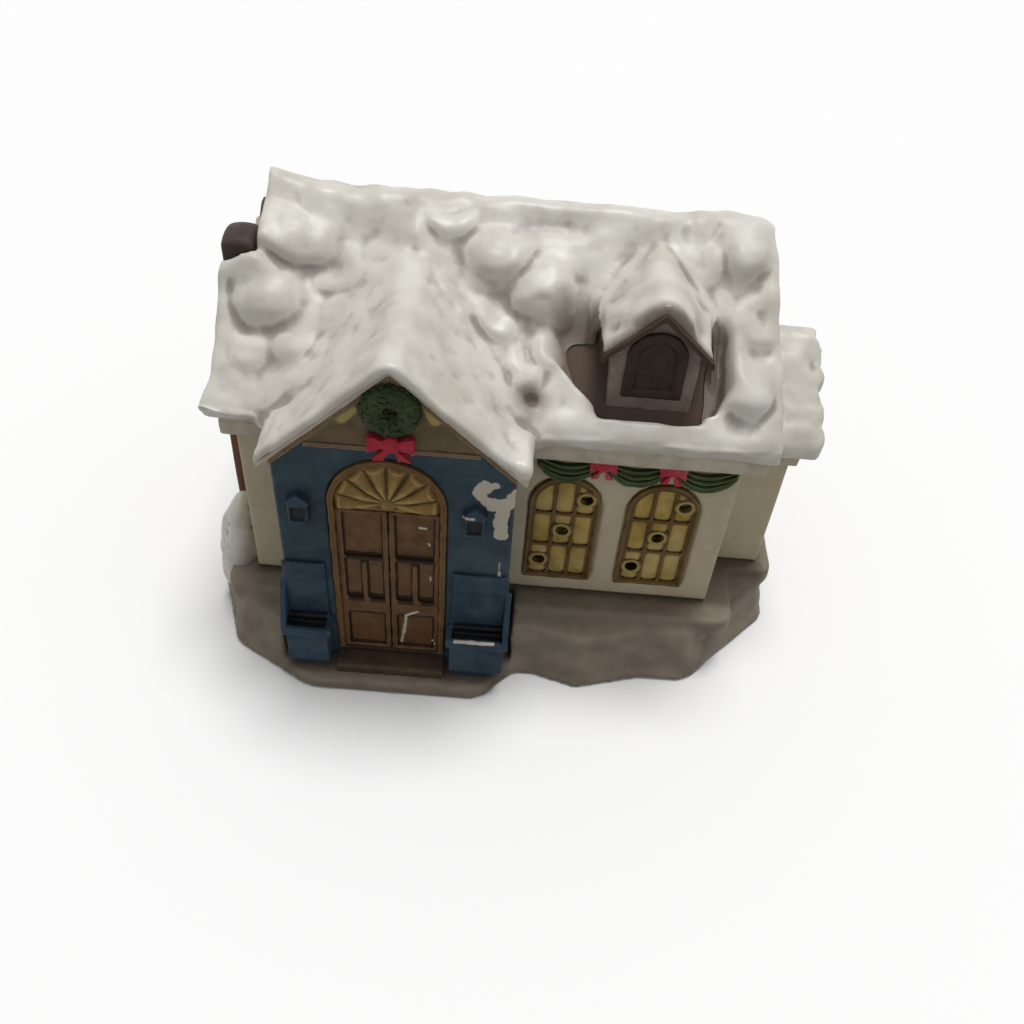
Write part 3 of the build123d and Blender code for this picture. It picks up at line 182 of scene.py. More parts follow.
def soften(name, work, voxel, rounds, shape=None, marks=(), blur=2, settle=0):
    """A piece whose edges are rounded as slip and glaze round them. Sizes are in millimetres.

    shape moves the points further, and settle smooths them after that. The attribute bend keeps the
    surface's curvature, above zero where it is hollow. Each mark keeps the distance to a painted place."""
    mesh = bpy.data.meshes.new(name)
    work.to_mesh(mesh)
    work.free()
    piece = bpy.data.objects.new(name, mesh)
    scene.collection.objects.link(piece)
    clay = piece.modifiers.new("clay", "REMESH")
    clay.mode = "VOXEL"
    clay.voxel_size = voxel
    slip = piece.modifiers.new("slip", "SMOOTH")
    slip.factor = slip_factor
    slip.iterations = rounds
    soft = applied(piece)
    soft.name = name
    points = numbers(soft.vertices, "co", 3)
    ends = numbers(soft.edges, "vertices", 2).astype(int)
    if shape:
        points = shape(points, numbers(soft.vertex_normals, "vector", 3))
        for _ in range(settle):
            points = (points + neighbours_mean(points, ends, len(points))) / 2
        soft.vertices.foreach_set("co", points.ravel())
        soft.update()
    out = neighbours_mean(points, ends, len(points)) - points
    bend = (out * numbers(soft.vertex_normals, "vector", 3)).sum(1, keepdims=True) * 4 / voxel**2
    for _ in range(blur):
        bend = (bend + neighbours_mean(bend, ends, len(points))) / 2
    soft.attributes.new("bend", "FLOAT", "POINT").data.foreach_set("value", bend.ravel())
    for mark, distance in dict(marks).items():
        gap = np.clip(distance(points), -far_off, far_off)
        soft.attributes.new(mark, "FLOAT", "POINT").data.foreach_set("value", gap)
    soft.transform(Matrix.Scale(MM, 4))
    soft.shade_smooth()
    return piece


def seat(piece, material, slot, *replaced):
    """Gives a piece of the house its finish, in place of the CAD nodes it stands for. The argument slot is
    not used.
    """
    piece.data.materials.clear()
    piece.data.materials.append(material)
    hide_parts(*replaced)
    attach(piece, "house")


def rolling(points, size, seed):
    """Smooth noise between -1 and 1 with features of this size, at each point."""
    offset = Vector((seed, 2.7 * seed, -1.3 * seed))
    return np.array([noise.noise(Vector(p) / size + offset) for p in points])


def lumpy(points, *lumps):
    """Lumps of one or more kinds, each given by its size, its seed and its rise."""
    return sum(rolling(points, size, seed) * rise for size, seed, rise in lumps)


def step(values, low, high):
    """Smooth step from 0 at low to 1 at high."""
    share = np.clip((values - low) / (high - low), 0, 1)
    return share * share * (3 - 2 * share)


hollow_half = (42.0, 25.0)
hollow_middle = (-3.0, 5.5)
bank_lumps = ((9.0, 3, 1.2), (4.0, 8, 0.4))
ledge_wave = (7.0, 5, 0.25)
ledge_drop = 0.1


def drifted(points, normals):
    """Drifts on the bank's sides, dying out at the foot, under the ledge and inside."""
    z = points[:, 2]
    outside = (np.abs(points[:, :2] - hollow_middle) > hollow_half).any(1)
    side = step(normals[:, 2], 0.9, 0.5) * step(z, 0.1, 2.5) * step(z, 9.8, 7.0)
    wave = (lumpy(points, ledge_wave) - ledge_drop) * step(z, 9.0, 11.5)
    return points + normals * np.where(outside, side * lumpy(points, *bank_lumps) + wave, 0)[:, None]


walls_low, walls_high = (-48.6, -23.4, 9.0), (55.0, 34.0, 20.0)
entry_low, entry_high = (-40.0, -38.6, -1.0), (3.2, -30.0, 20.0)


def block(points, low, high):
    """Distance to a box."""
    middle = (np.array(low) + np.array(high)) / 2
    half = (np.array(high) - np.array(low)) / 2
    return np.max(np.abs(points - middle) - half, 1)


def grimed_and_shaded(points):
    """Grime and painted shade along the foot of the walls and of the entry."""
    return np.minimum(block(points, walls_low, walls_high), block(points, entry_low, entry_high))


# The glaze is satin and cloudy, and browner along the foot of the walls and the entry, partly grime and
# partly painted shade.
bank_glaze = glaze(
    "greyish_white_bank_glaze", "#8a7f70", "#5d5448", "#a79c8c", rough=0.46, mottle=0.25,
    marks=(("grime_and_shade", "#665c50", 1.8, 1.4),),
)
bank = soften("plinth_drifts", node_copy("plinth"), 0.6, 6, drifted, {"grime_and_shade": grimed_and_shaded}, blur=5, settle=2)
seat(bank, bank_glaze, "bank_glaze", "plinth")

# Wall shell and side wing: slip-cast walls with slightly rounded corners, glazed cream white.
# The window openings are cut through before firing, and the roofs are luted on top.
# The glaze is even, with a faint cloudiness and a soft sheen.
wall_glaze = glaze("cream_white_wall_glaze", "#cfc2a7", "#9d8e72", "#ddd3bd", mottle=0.14)
wall_wave = (14.0, 11, 0.16)


def settled(points, normals):
    """The slight waviness of a hand-finished cast wall."""
    return points + normals * lumpy(points, wall_wave)[:, None]


for node, name, voxel, rounds in (
    ("wall_shell", "cast_walls", 0.75, 3), ("side_wing", "cast_side_wing", 0.45, 5),
):
    seat(soften(name, node_copy(node), voxel, rounds, settled), wall_glaze, "wall_glaze", node)

# Windows: yellow panes that swell between the bars of an arched brown frame, each window pierced by three
# holes for the light. The colours are brushed by hand, and the rings round the holes are pale.
# The yellow is thick in the middle of a pane and streaky. Beside the bars it is darkened as painted shade,
# and the holes' walls are painted dark as shade.
SIDES = ("left", "right")
hole_shade_mark = ("hole_shade", "#2c2113", 0.2, 0.12)
pane_glaze = glaze(
    "brushed_yellow_panes", "#c5a75c", "#7d6129", "#e6d9ac", mottle=0.5, crisp=1.5, marks=(hole_shade_mark,),
)
frame_glaze = glaze(
    "brushed_brown_frames", "#6d5530", "#3f2f19", "#967d50", crisp=2,
    marks=(("rim", "#b9a263", 0.5, 0.12), hole_shade_mark),
)
pane_pitch = np.array((3.83, 8.23))
pane_swell = 0.75
rim_radius = 1.75
hole_radius = 1.2
bar_trim = 0.24
brushed_slip = (2.2, 13, 0.12)


def brushed_over(points, normals):
    """Uneven thickness of brushed colour and slip."""
    return points + normals * lumpy(points, brushed_slip)[:, None]


def box_of(node):
    """Two corners of a CAD node's box, in millimetres."""
    return [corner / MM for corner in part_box(node)]


for side in SIDES:
    low, high = box_of(f"{side}_window_frame")
    middle = np.array((low.x + high.x, low.z + high.z)) / 2

    def swollen(points, normals):
        """Each pane swells between its bars."""
        cell = (points[:, ::2] - middle) / pane_pitch
        across, upright = 2 * (cell - np.round(cell)).T
        swell = pane_swell * np.sqrt(np.clip((1 - across**2) * (1 - upright**4), 0, 1))
        points = brushed_over(points, normals)
        points[:, 1] -= swell * step(normals[:, 1], -0.2, -0.8)
        return points

    def rimmed(points):
        """The rings round the three holes."""
        places = [points[:, ::2] - middle - row * pane_pitch for row in (-1, 0, 1)]
        return np.min(np.linalg.norm(places, axis=2), 0) - rim_radius

    def pierced(points):
        """The walls of the three holes, painted dark as shade."""
        return rimmed(points) + rim_radius - hole_radius

    def thinned(points, normals):
        """Bars that the brushed panes have narrowed."""
        half = (high.x - low.x) / 2
        spring = high.z - half
        aside = np.abs(points[:, 0] - middle[0])
        inner = np.minimum(half - aside, points[:, 2] - low.z)
        inner = np.where(points[:, 2] > spring, half - np.hypot(aside, points[:, 2] - spring), inner)
        narrow = bar_trim * step(inner, 0.4, 1.0) * step(rimmed(points), 0.2, 0.6)
        return brushed_over(points, normals) - normals * narrow[:, None]

    panes = soften(f"{side}_panes", node_copy(f"{side}_window_panes"), 0.15, 4, swollen, {"hole_shade": pierced})
    seat(panes, pane_glaze, "pane_glaze", f"{side}_window_panes")
    marks = {"rim": rimmed, "hole_shade": pierced}
    bars = soften(f"{side}_frame", node_copy(f"{side}_window_frame"), 0.13, 9, thinned, marks)
    seat(bars, frame_glaze, "frame_glaze", f"{side}_window_frame")

# Garlands: crescents of clay under the eave, pressed into three strands and painted dark green.
# A small red bow covers each joint between them.
# Both colours lie thick; the folds are darkened as painted shade, and the ridges are rubbed paler, which is
# wear and painted highlight.
leaf_glaze = glaze("dark_green_garland", "#354a29", "#141c0c", "#747f56", wear=0.4, crisp=1.6)
bow_glaze = glaze("crimson_bows", "#b93345", "#7a1d2b", "#dc8591", mottle=0.3, wear=0.3, crisp=4)
strands = 3
strand_rise = 0.3
upper_sag = 1.8
lower_sag = 3.7
tip = 1.5
notches = (1.6, 19, 0.2)
ribbon_folds = (1.1, 17, 0.22)
for side in ("left", "middle", "right"):
    low, high = box_of(f"{side}_swag")

    def stranded(points, normals):
        """Strands that follow the garland's sag, with small notches along them."""
        x, z = points[:, ::2].T
        round_share = 1 - ((x - (low.x + high.x) / 2) / ((high.x - low.x) / 2)) ** 2
        top = high.z - upper_sag * round_share
        foot = high.z - tip - lower_sag * round_share
        across = (z - foot) / (top - foot)
        ridges = np.cos(2 * math.pi * strands * across) * strand_rise + lumpy(points, notches)
        return points + normals * (ridges * step(normals[:, 1], 0.2, -0.6))[:, None]

    garland = soften(f"{side}_garland", node_copy(f"{side}_swag"), 0.12, 4, stranded)
    seat(garland, leaf_glaze, "green_glaze", f"{side}_swag")


def ribboned(points, normals):
    """Soft folds of a clay ribbon."""
    return points + normals * lumpy(points, ribbon_folds)[:, None]


for side in SIDES:
    ribbon = soften(f"{side}_ribbon", node_copy(f"{side}_swag_bow"), 0.1, 6, ribboned)
    seat(ribbon, bow_glaze, "red_glaze", f"{side}_swag_bow")

# Entry block: a cast gabled block, painted slate blue.
# The blue has flaked off in ragged patches beside the right lantern and shows the white body.
facade_y = -34.8
flakes = (
    ((-3.9, 49.2), (-3.2, 50.9), 1.3), ((-3.1, 51.0), (-1.6, 51.1), 0.8), ((-3.5, 48.5), (-1.4, 46.8), 1.3),
    ((-1.4, 46.6), (0.8, 47.2), 1.4), ((1.0, 47.4), (1.4, 50.0), 0.8), ((0.2, 46.3), (-0.3, 43.2), 1.2),
    ((-0.3, 42.0), (0.0, 39.7), 1.2), ((0.2, 32.7), (0.3, 28.1), 0.16),
)
blue_islands = (((-2.2, 48.9), (0.6, 50.2), 0.65), ((0.6, 50.3), (2.4, 51.9), 0.4))
sill_low, sill_high = (-28.5, -37.0, -1.0), (-11.0, -33.0, 5.6)
paint_depth = 1.5


def to_line(places, first, last):
    """Distance in a plane to the line between two places."""
    reach = np.subtract(last, first)
    run = np.clip((places - first) @ reach / (reach @ reach), 0, 1)
    return np.linalg.norm(places - first - run[:, None] * reach, axis=1)


def strokes(points, places, y):
    """Distance to the nearest of some strokes on the facade, each with its two ends and half its width."""
    gaps = [to_line(points[:, ::2], first, last) - half for first, last, half in places]
    return np.maximum(np.min(gaps, 0), np.abs(points[:, 1] - y) - paint_depth)


def flaked(points):
    """Flaked places, less two streaks of blue that held."""
    return np.maximum(strokes(points, flakes, facade_y), -strokes(points, blue_islands, facade_y))


def silled(points):
    """The brown sill under the door."""
    return block(points, sill_low, sill_high)


# The blue is streaky and nearly matt, with sharp ragged edges where it has flaked.
bay_glaze = glaze(
    "slate_blue_facade", "#33454e", "#1b252a", "#52666f",
    marks=(("flake", "#d0c8ba", 1.3, 0.12), ("sill", "#3b2d23", 0.4, 0.12)),
)
entry = soften("entry_block", node_copy("entry_bay"), 0.32, 5, settled, {"flake": flaked, "sill": silled})
seat(entry, bay_glaze, "blue_glaze", "entry_bay")

# Doorway: an arched opening with two brown panelled leaves under an ochre shell-shaped fanlight.
# The panels are pressed in, dark bars of painted shadow lie along them, and the right leaf has a white
# scratch.
# The browns show their strokes, and the corners are darkened almost black as painted shade.
door_glaze = glaze(
    "brushed_brown_door", "#715338", "#2a1c11", "#917450", wear=0.4,
    marks=(("panel_shadow", "#2c1d12", 0.6, 0.3), ("scratch", "#d8d0c0", 0.5, 0.12)),
)
panel_push = 0.4
rails = ((31.6, 3.5, 1.2), (19.9, 2.5, 0.7))
# Bars of painted shadow on each leaf: their foot and head, and where they start and end as shares of the
# leaf's width.
panel_shadow_bars = (
    (29.3, 31.3, 0.12, 0.92), (18.7, 20.2, 0.14, 0.47), (18.7, 20.2, 0.6, 0.92), (15.1, 15.9, 0.14, 0.9),
)
scratch = (
    ((-14.6, 16.9), (-16.8, 15.6), 0.28), ((-16.8, 15.6), (-17.1, 12.0), 0.26),
    ((-17.1, 12.0), (-17.5, 9.0), 0.34), ((-17.5, 9.0), (-17.9, 6.4), 0.26),
    ((-11.8, 7.4), (-11.5, 7.5), 0.3), ((-14.2, 38.6), (-13.2, 38.5), 0.25),
    ((-12.7, 34.8), (-12.5, 34.3), 0.2), ((-12.3, 25.9), (-12.3, 24.9), 0.18),
)


def scratched(points):
    """Where the brown is scratched through."""
    return strokes(points, scratch, facade_y + 0.4)


for side in SIDES:
    low, high = box_of(f"{side}_door_leaf")

    def pressed(points, normals):
        """Panels pressed deeper into the clay, with their rails sagging a little."""
        deep = step(points[:, 1], low.y + 0.1, low.y + 0.45) * step(points[:, 1], high.y - 0.1, high.y - 0.5)
        points = brushed_over(points, normals)
        points[:, 1] += panel_push * deep
        for middle, reach, drop in rails:
            points[:, 2] -= drop * np.exp(-(((points[:, 2] - middle) / reach) ** 2))
        return points

    def panel_shadow(points):
        """Painted shadow along the edges of the panels."""
        wide = high.x - low.x
        bars = [
            block(points, (low.x + near * wide, low.y - 1, foot), (low.x + far * wide, high.y, head))
            for foot, head, near, far in panel_shadow_bars
        ]
        return np.min(bars, 0)

    marks = {"scratch": scratched, "panel_shadow": panel_shadow}
    leaf = soften(f"{side}_leaf", node_copy(f"{side}_door_leaf"), 0.16, 4, pressed, marks)
    seat(leaf, door_glaze, "door_glaze", f"{side}_door_leaf")
arch_glaze = glaze("brushed_brown_arch", "#6d5032", "#382616", "#8c6f45")
door_arch = soften("door_arch", node_copy("door_surround"), 0.2, 6, brushed_over)
seat(door_arch, arch_glaze, "gold_glaze", "door_surround")
step_glaze = glaze("brushed_dark_step", "#514234", "#2c2119", "#6e5d4c", rough=0.55)
seat(soften("step", node_copy("doorstep"), 0.2, 8, brushed_over), step_glaze, "door_glaze", "doorstep")

low, high = box_of("fanlight")
fan_radius = (high.x - low.x) / 2
fan_x = (high.x + low.x) / 2
fan_spring = high.z - fan_radius
fan_petals = 8
fan_droop = math.radians(14)
fan_rise = 1.3
fan_bed = 0.55
fan_boss = 1.7
boss_bed, boss_flat = 0.75, 0.4
plate_high, plate_set_back = 2.4, 0.8
spokes = 180
rings = 30


def fan_shell():
    """A closed shell of petals that spread from the boss, with its lower petals drooping."""
    work = bmesh.new()
    fronts, backs = [], []
    for spoke in range(spokes + 1):
        angle = -fan_droop + (math.pi + 2 * fan_droop) * spoke / spokes
        petal = (spoke / spokes * fan_petals) % 1 * 2 - 1
        front, back = [], []
        for ring in range(rings + 1):
            share = 0.05 + 0.95 * ring / rings
            crown = math.cos(petal * math.pi / 2) ** 0.8 * min(1, share * 2) * min(1, (1.02 - share) * 9)
            x = fan_x + fan_radius * share * math.cos(angle)
            z = fan_spring + fan_radius * share * math.sin(angle)
            front.append(work.verts.new((x, low.y + fan_bed - fan_rise * crown, z)))
            back.append(work.verts.new((x, high.y, z)))
        fronts.append(front)
        backs.append(back)
    for i in range(spokes):
        for j in range(rings):
            work.faces.new((fronts[i][j], fronts[i][j + 1], fronts[i + 1][j + 1], fronts[i + 1][j]))
            work.faces.new((backs[i][j], backs[i + 1][j], backs[i + 1][j + 1], backs[i][j + 1]))
        work.faces.new((fronts[i][0], fronts[i + 1][0], backs[i + 1][0], backs[i][0]))
        work.faces.new((fronts[i][-1], backs[i][-1], backs[i + 1][-1], fronts[i + 1][-1]))
    for j in range(rings):
        work.faces.new((fronts[0][j], backs[0][j], backs[0][j + 1], fronts[0][j + 1]))
        work.faces.new((fronts[-1][j], fronts[-1][j + 1], backs[-1][j + 1], backs[-1][j]))
    boss = Matrix.Translation((fan_x, low.y + boss_bed, fan_spring)) @ Matrix.Diagonal((1, boss_flat, 1, 1))
    bmesh.ops.create_uvsphere(work, u_segments=32, v_segments=16, radius=fan_boss, matrix=boss)
    plate = Matrix.Translation((fan_x, (low.y + high.y + plate_set_back) / 2, low.z + plate_high / 2))
    plate = plate @ Matrix.Diagonal((2 * fan_radius, high.y - low.y - plate_set_back, plate_high, 1))
    bmesh.ops.create_cube(work, size=1, matrix=plate)
    bmesh.ops.recalc_face_normals(work, faces=work.faces)
    return work


fan_ends = (((-28.0, 43.1), (-27.2, 43.1), 0.7), ((-12.2, 43.2), (-11.4, 43.2), 0.7))


def fan_ended(points):
    """The dark ends of the lower petals."""
    return strokes(points, fan_ends, low.y + 0.6)


# Ochre is glossier than the brown, and the pale on the petals' crowns is a painted highlight.
gold_glaze = glaze(
    "ochre_shell_fanlight", "#82632b", "#453012", "#bda25a", crisp=0.6, gloss=0.3,
    marks=(("end", "#3a2a17", 0.5, 0.12),),
)
fan = soften("shell_fan", fan_shell(), 0.13, 6, brushed_over, {"end": fan_ended}, settle=3)
seat(fan, gold_glaze, "gold_glaze", "fanlight")

# Planters and lanterns: small cast blocks luted to the facade and painted with the same blue.
# The planters' tops are dark as soil, the lanterns' panes are almost black, and rims are worn pale.
trim_glaze = glaze(
    "slate_blue_trim", "#2f4252", "#182129", "#586c7b", wear=0.4, crisp=2,
    marks=(("dark", "#17191c", 0.4, 0.12), ("bare", "#cfc9bd", 0.5, 0.12)),
)
soil_depth = 1.5
wall_gauge = 1.0
planter_height = 12.4
planter_depth = 4.6
worn_rims = {"left": -1.0, "right": 0.3}
lantern_pane = (1.4, 1.6)
worn_hoods = {"left": -1.0, "right": 0.25}
pane_rise = 2.3
hood_rise = 4.6
for side in SIDES:
    low, high = box_of(f"{side}_planter")
    top = low.z + planter_height

    def soiled(points):
        """The soil inside the planter's rim."""
        near = (low.x + wall_gauge, low.y + wall_gauge, top - soil_depth)
        far = (high.x - wall_gauge, low.y + planter_depth - 0.6, top + 1.2)
        return block(points, near, far)

    def rubbed(points):
        """The front edge of the rim, which is worn white on the right planter."""
        worn = worn_rims[side]
        return block(points, (low.x + 1.5, low.y - 1, top - worn), (high.x - 2.5, low.y + 0.6, top + worn))

    marks = {"dark": soiled, "bare": rubbed}
    box = soften(f"{side}_planter_box", node_copy(f"{side}_planter"), 0.18, 5, brushed_over, marks)
    seat(box, trim_glaze, "blue_glaze", f"{side}_planter")
    low, high = box_of(f"{side}_lantern")
    lantern_x = (low.x + high.x) / 2

    def paned(points):
        """The lantern's dark pane."""
        middle = low.z + pane_rise
        near = (lantern_x - lantern_pane[0], low.y - 1, middle - lantern_pane[1])
        return block(points, near, (lantern_x + lantern_pane[0], low.y + 0.8, middle + lantern_pane[1]))

    def hooded(points):
        """The edge of the hood, which is worn white on the right lantern."""
        worn = worn_hoods[side]
        near = (low.x, low.y - 1, low.z + hood_rise - worn)
        return block(points, near, (lantern_x, low.y + 0.5, low.z + hood_rise + worn))

    marks = {"dark": paned, "bare": hooded}
    lantern = soften(f"{side}_wall_lantern", node_copy(f"{side}_lantern"), 0.11, 6, brushed_over, marks)
    seat(lantern, trim_glaze, "blue_glaze", f"{side}_lantern")

# Entry gable: a tan panel with yellow patches between brown bargeboards, over a plain moulding.
# The boards are strips of clay under the edge of the snow, and their thin paint shows its strokes.
tan_glaze = glaze("tan_gable_paint", "#6f5f48", "#443829", "#8b7b61", marks=(("patch", "#b5a465", 1.2, 0.3),))
board_glazes = {
    "entry": glaze("brown_bargeboard_paint", "#7c6650", "#4a3c2f", "#9a8468"),
    "dormer": glaze("dark_brown_bargeboard_paint", "#45382d", "#281f18", "#5c4c3d"),
}
patches = (((-26.4, 63.4), (-24.6, 65.0), 0.9), ((-12.8, 66.4), (-11.6, 64.2), 0.8))


def patched(points):
    """Yellow patches beside the wreath."""
    return strokes(points, patches, facade_y - 0.5)


panel = soften("gable_panel", node_copy("pediment_panel"), 0.16, 2, brushed_over, {"patch": patched})
seat(panel, tan_glaze, "tan_glaze", "pediment_panel")
moulding = soften("gable_moulding", node_copy("pediment_moulding"), 0.13, 8, brushed_over)
seat(moulding, board_glazes["entry"], "tan_glaze", "pediment_moulding")
for gable, board_glaze in board_glazes.items():
    for side in SIDES:
        node = f"{gable}_{side}_bargeboard"
        board = soften(f"{gable}_{side}_board", node_copy(node), 0.16, 5, brushed_over)
        seat(board, board_glaze, "tan_glaze", node)

# Wreath: a ring of clay leaves pressed on one by one, dark green, with a crimson bow under it.
# The leaves lie every way and almost close the ring, which breaks the green into light and dark.
tree = bpy.data.node_groups.new("wreath_leaves", "GeometryNodeTree")
leaf_sizes = {
    "Leaf length": 1.5 * MM, "Leaf width": 0.75 * MM, "Leaf thickness": 0.45 * MM, "Leaf density": 2.2e6,
}
new_socket = tree.interface.new_socket
leaf_inputs = {}
for name, kind in {"Ring": "Geometry", **dict.fromkeys(leaf_sizes, "Float"), "Glaze": "Material"}.items():
    leaf_inputs[name] = new_socket(name, in_out="INPUT", socket_type=f"NodeSocket{kind}")
new_socket("Wreath", in_out="OUTPUT", socket_type="NodeSocketGeometry")
given = add(tree, "NodeGroupInput").outputs
sockets = {"Mesh": given["Ring"], "Density": given["Leaf density"], "Seed": 4}
spots = add(tree, "GeometryNodeDistributePointsOnFaces", (), sockets).outputs
sockets = {0: given["Leaf length"], 1: given["Leaf width"], 2: given["Leaf thickness"]}
leaf_size = add(tree, "ShaderNodeCombineXYZ", (), sockets).outputs[0]
leaf = add(tree, "GeometryNodeMeshIcoSphere", (), {"Radius": 0.5, "Subdivisions": 2}).outputs["Mesh"]
leaf = add(tree, "GeometryNodeTransform", (), {"Geometry": leaf, "Scale": leaf_size}).outputs[0]
leaf = add(tree, "GeometryNodeSetShadeSmooth", (), {"Geometry": leaf}).outputs[0]
leaf_tilt = 0.35
sockets = {"Min": (-leaf_tilt, -leaf_tilt, 0.0), "Max": (leaf_tilt, leaf_tilt, 6.28), "Seed": 7}
twist = add(tree, "FunctionNodeRandomValue", {"data_type": "FLOAT_VECTOR"}, sockets).outputs[0]
twist = add(tree, "FunctionNodeEulerToRotation", (), {0: twist}).outputs[0]
sockets = {"Rotation": spots["Rotation"], "Rotate By": twist}
twist = add(tree, "FunctionNodeRotateRotation", {"rotation_space": "LOCAL"}, sockets).outputs[0]
sockets = {"Points": spots["Points"], "Instance": leaf, "Rotation": twist}
leaves = add(tree, "GeometryNodeInstanceOnPoints", (), sockets).outputs[0]
whole = add(tree, "GeometryNodeJoinGeometry", (), {0: leaves})
tree.links.new(given["Ring"], whole.inputs[0])
whole = add(tree, "GeometryNodeRealizeInstances", (), {0: whole.outputs[0]}).outputs[0]
whole = add(tree, "GeometryNodeSetMaterial", (), {0: whole, "Material": given["Glaze"]}).outputs[0]
add(tree, "NodeGroupOutput", (), {0: whole})

wreath_glaze = glaze("darker_green_wreath", "#2b3b21", "#10170a", "#5d6944", wear=0.3, crisp=1.6)
ring = soften("wreath_leaves", node_copy("wreath"), 0.2, 6)
leafing = ring.modifiers.new("leaves", "NODES")
leafing.node_group = tree
for name, size in leaf_sizes.items():
    leafing[leaf_inputs[name].identifier] = size
leafing[leaf_inputs["Glaze"].identifier] = wreath_glaze
applied(ring)
seat(ring, wreath_glaze, "green_glaze", "wreath")
wreath_ribbon = soften("wreath_ribbon", node_copy("wreath_bow"), 0.12, 7, ribboned)
seat(wreath_ribbon, bow_glaze, "red_glaze", "wreath_bow")

# Roof shells: cast slabs luted to the walls, cream white where their edges show under the snow.
# Round the dormer and beside the chimney they are painted dark brown.
# The brown fades softly into the cream, as from a wide brush.
roof_glaze = glaze(
    "cream_and_brown_roof", "#cfc6b4", "#8f816b", "#ddd6c8", marks=(("brown", "#5f5045", 0.6, 0.8),),
)
brown_roof_low, brown_roof_high = (4, -24.0, 50), (38, -7, 82)
brown_end_low, brown_end_high = (-56, -9, 60), (-44, 12, 82)


def browned(points):
    """The bare roof round the dormer, and the end beside the chimney."""
    near_dormer = block(points, brown_roof_low, brown_roof_high)
    return np.minimum(near_dormer, block(points, brown_end_low, brown_end_high))


for node, voxel in (("main_roof", 0.7), ("entry_roof", 0.45), ("wing_roof", 0.5)):
    shell = soften(f"{node}_shell", node_copy(node), voxel, 3, settled, {"brown": browned})
    seat(shell, roof_glaze, "roof_glaze", node)

# Dormer and chimney: cast blocks, the dormer taupe with dark brown trim and the chimney plum brown.
# The dormer's arched window is only a raised ring, and the chimney's breast is redder than its stack.
# Their paints are nearly matt.
taupe_glaze = glaze("taupe_dormer_paint", "#94877a", "#54483e", "#a6998b", rough=0.5)
umber_glaze = glaze("dark_brown_dormer_paint", "#3a2d24", "#241b15", "#4d3f33", rough=0.5)
brick_glaze = glaze(
    "plum_brown_chimney_paint", "#4a3d3a", "#2a2120", "#62534d", rough=0.5,
    marks=(("breast", "#75503f", 0.9, 0.6),),
)
slab_lap = 0.2
dormer = soften("dormer_block", node_copy("dormer_body"), 0.25, 6, brushed_over)
seat(dormer, taupe_glaze, "taupe_glaze", "dormer_body")
arch_ring = soften("dormer_ring", node_copy("dormer_window"), 0.16, 30, brushed_over)
seat(arch_ring, umber_glaze, "frame_glaze", "dormer_window")


def lapped(points, normals):
    """The slab's front edge and underside, which the snow laps over and leaves bare."""
    return points + normals * (slab_lap * step(normals[:, 2], 0.2, -0.2))[:, None]


slab = soften("dormer_slab", node_copy("dormer_roof"), 0.3, 4, lapped)
seat(slab, umber_glaze, "roof_glaze", "dormer_roof")
breast_top = 47.0
stack_middle = (-48.0, -3.9)
stack_high = 77.4
stack_slump, slump_reach = 0.07, 7


def breasted(points):
    """The redder breast below the stack."""
    return points[:, 2] - breast_top


def slumped(points, normals):
    """The stack's top, rounded off by the slip."""
    from_middle = ((points[:, :2] - stack_middle) ** 2).sum(1)
    moved = settled(points, normals)
    moved[:, 2] -= stack_slump * from_middle * step(points[:, 2], stack_high - slump_reach, stack_high)
    return moved


chimney = soften("chimney", node_copy("end_chimney"), 0.3, 20, slumped, {"breast": breasted}, settle=6)
seat(chimney, brick_glaze, "brick_glaze", "end_chimney")

# Snow: a thick blanket of modelled clay over the roofs, with a satin white glaze.
# It fills the valleys, lies in pillows with steep lower lips, and thins out to bare roof round the dormer.
ridge_y, ridge_top, roof_top, roof_slope = 5.5, 83.1, 78.5, 0.836
entry_x, entry_top, entry_slope = -18.5, 76.2, 0.9325
dormer_x, dormer_top, dormer_front = 23.4, 79.8, -20.7
# A pillow has the x and y of its lip, its half width, its reach uphill, its lip's curve and its height.
snow_pillows = (
    (-40.1, -5.9, 8.0, 6.0, 2.6, 1.8), (-42.9, -14.2, 5.4, 5.6, 3.0, 1.9), (-13.0, -0.6, 4.4, 3.0, 2.4, 1.2),
    (-3.9, -6.6, 5.2, 6.0, 2.8, 1.8), (3.5, -10.0, 6.0, 6.6, 2.8, 2.0), (-3.4, -14.2, 3.6, 3.6, 2.2, 1.2),
    (2.0, -21.0, 3.2, 4.2, 2.2, 1.3), (38.2, -2.9, 4.4, 4.8, 2.8, 1.8), (39.6, -21.8, 4.2, 5.0, 2.6, 1.8),
    (-31.5, -9.0, 4.2, 4.6, 2.0, 0.7), (-44.5, -20.2, 3.2, 3.6, 1.8, 0.8), (-37.5, -19.0, 3.6, 3.6, 1.6, 0.7),
    (30.5, -3.6, 3.4, 3.6, 2.0, 0.7), (41.5, -11.8, 3.2, 4.2, 2.0, 0.9), (22.0, -26.2, 6.0, 2.8, 1.0, 0.6),
    (11.0, -25.8, 4.4, 2.8, 1.0, 0.7), (6.2, -16.6, 3.2, 3.6, 2.0, 0.9), (-31.7, 21.0, 9.5, 8.0, 2.6, 0.9),
    (5.6, 28.0, 10.0, 8.0, 2.8, 0.9), (31.0, 18.6, 9.0, 7.0, 2.6, 0.9), (-12.0, 27.4, 7.0, 7.0, 2.0, 0.7),
    (-40.0, 31.0, 7.0, 6.0, 2.0, 0.6), (37.0, 30.5, 7.0, 6.0, 2.0, 0.6),
)
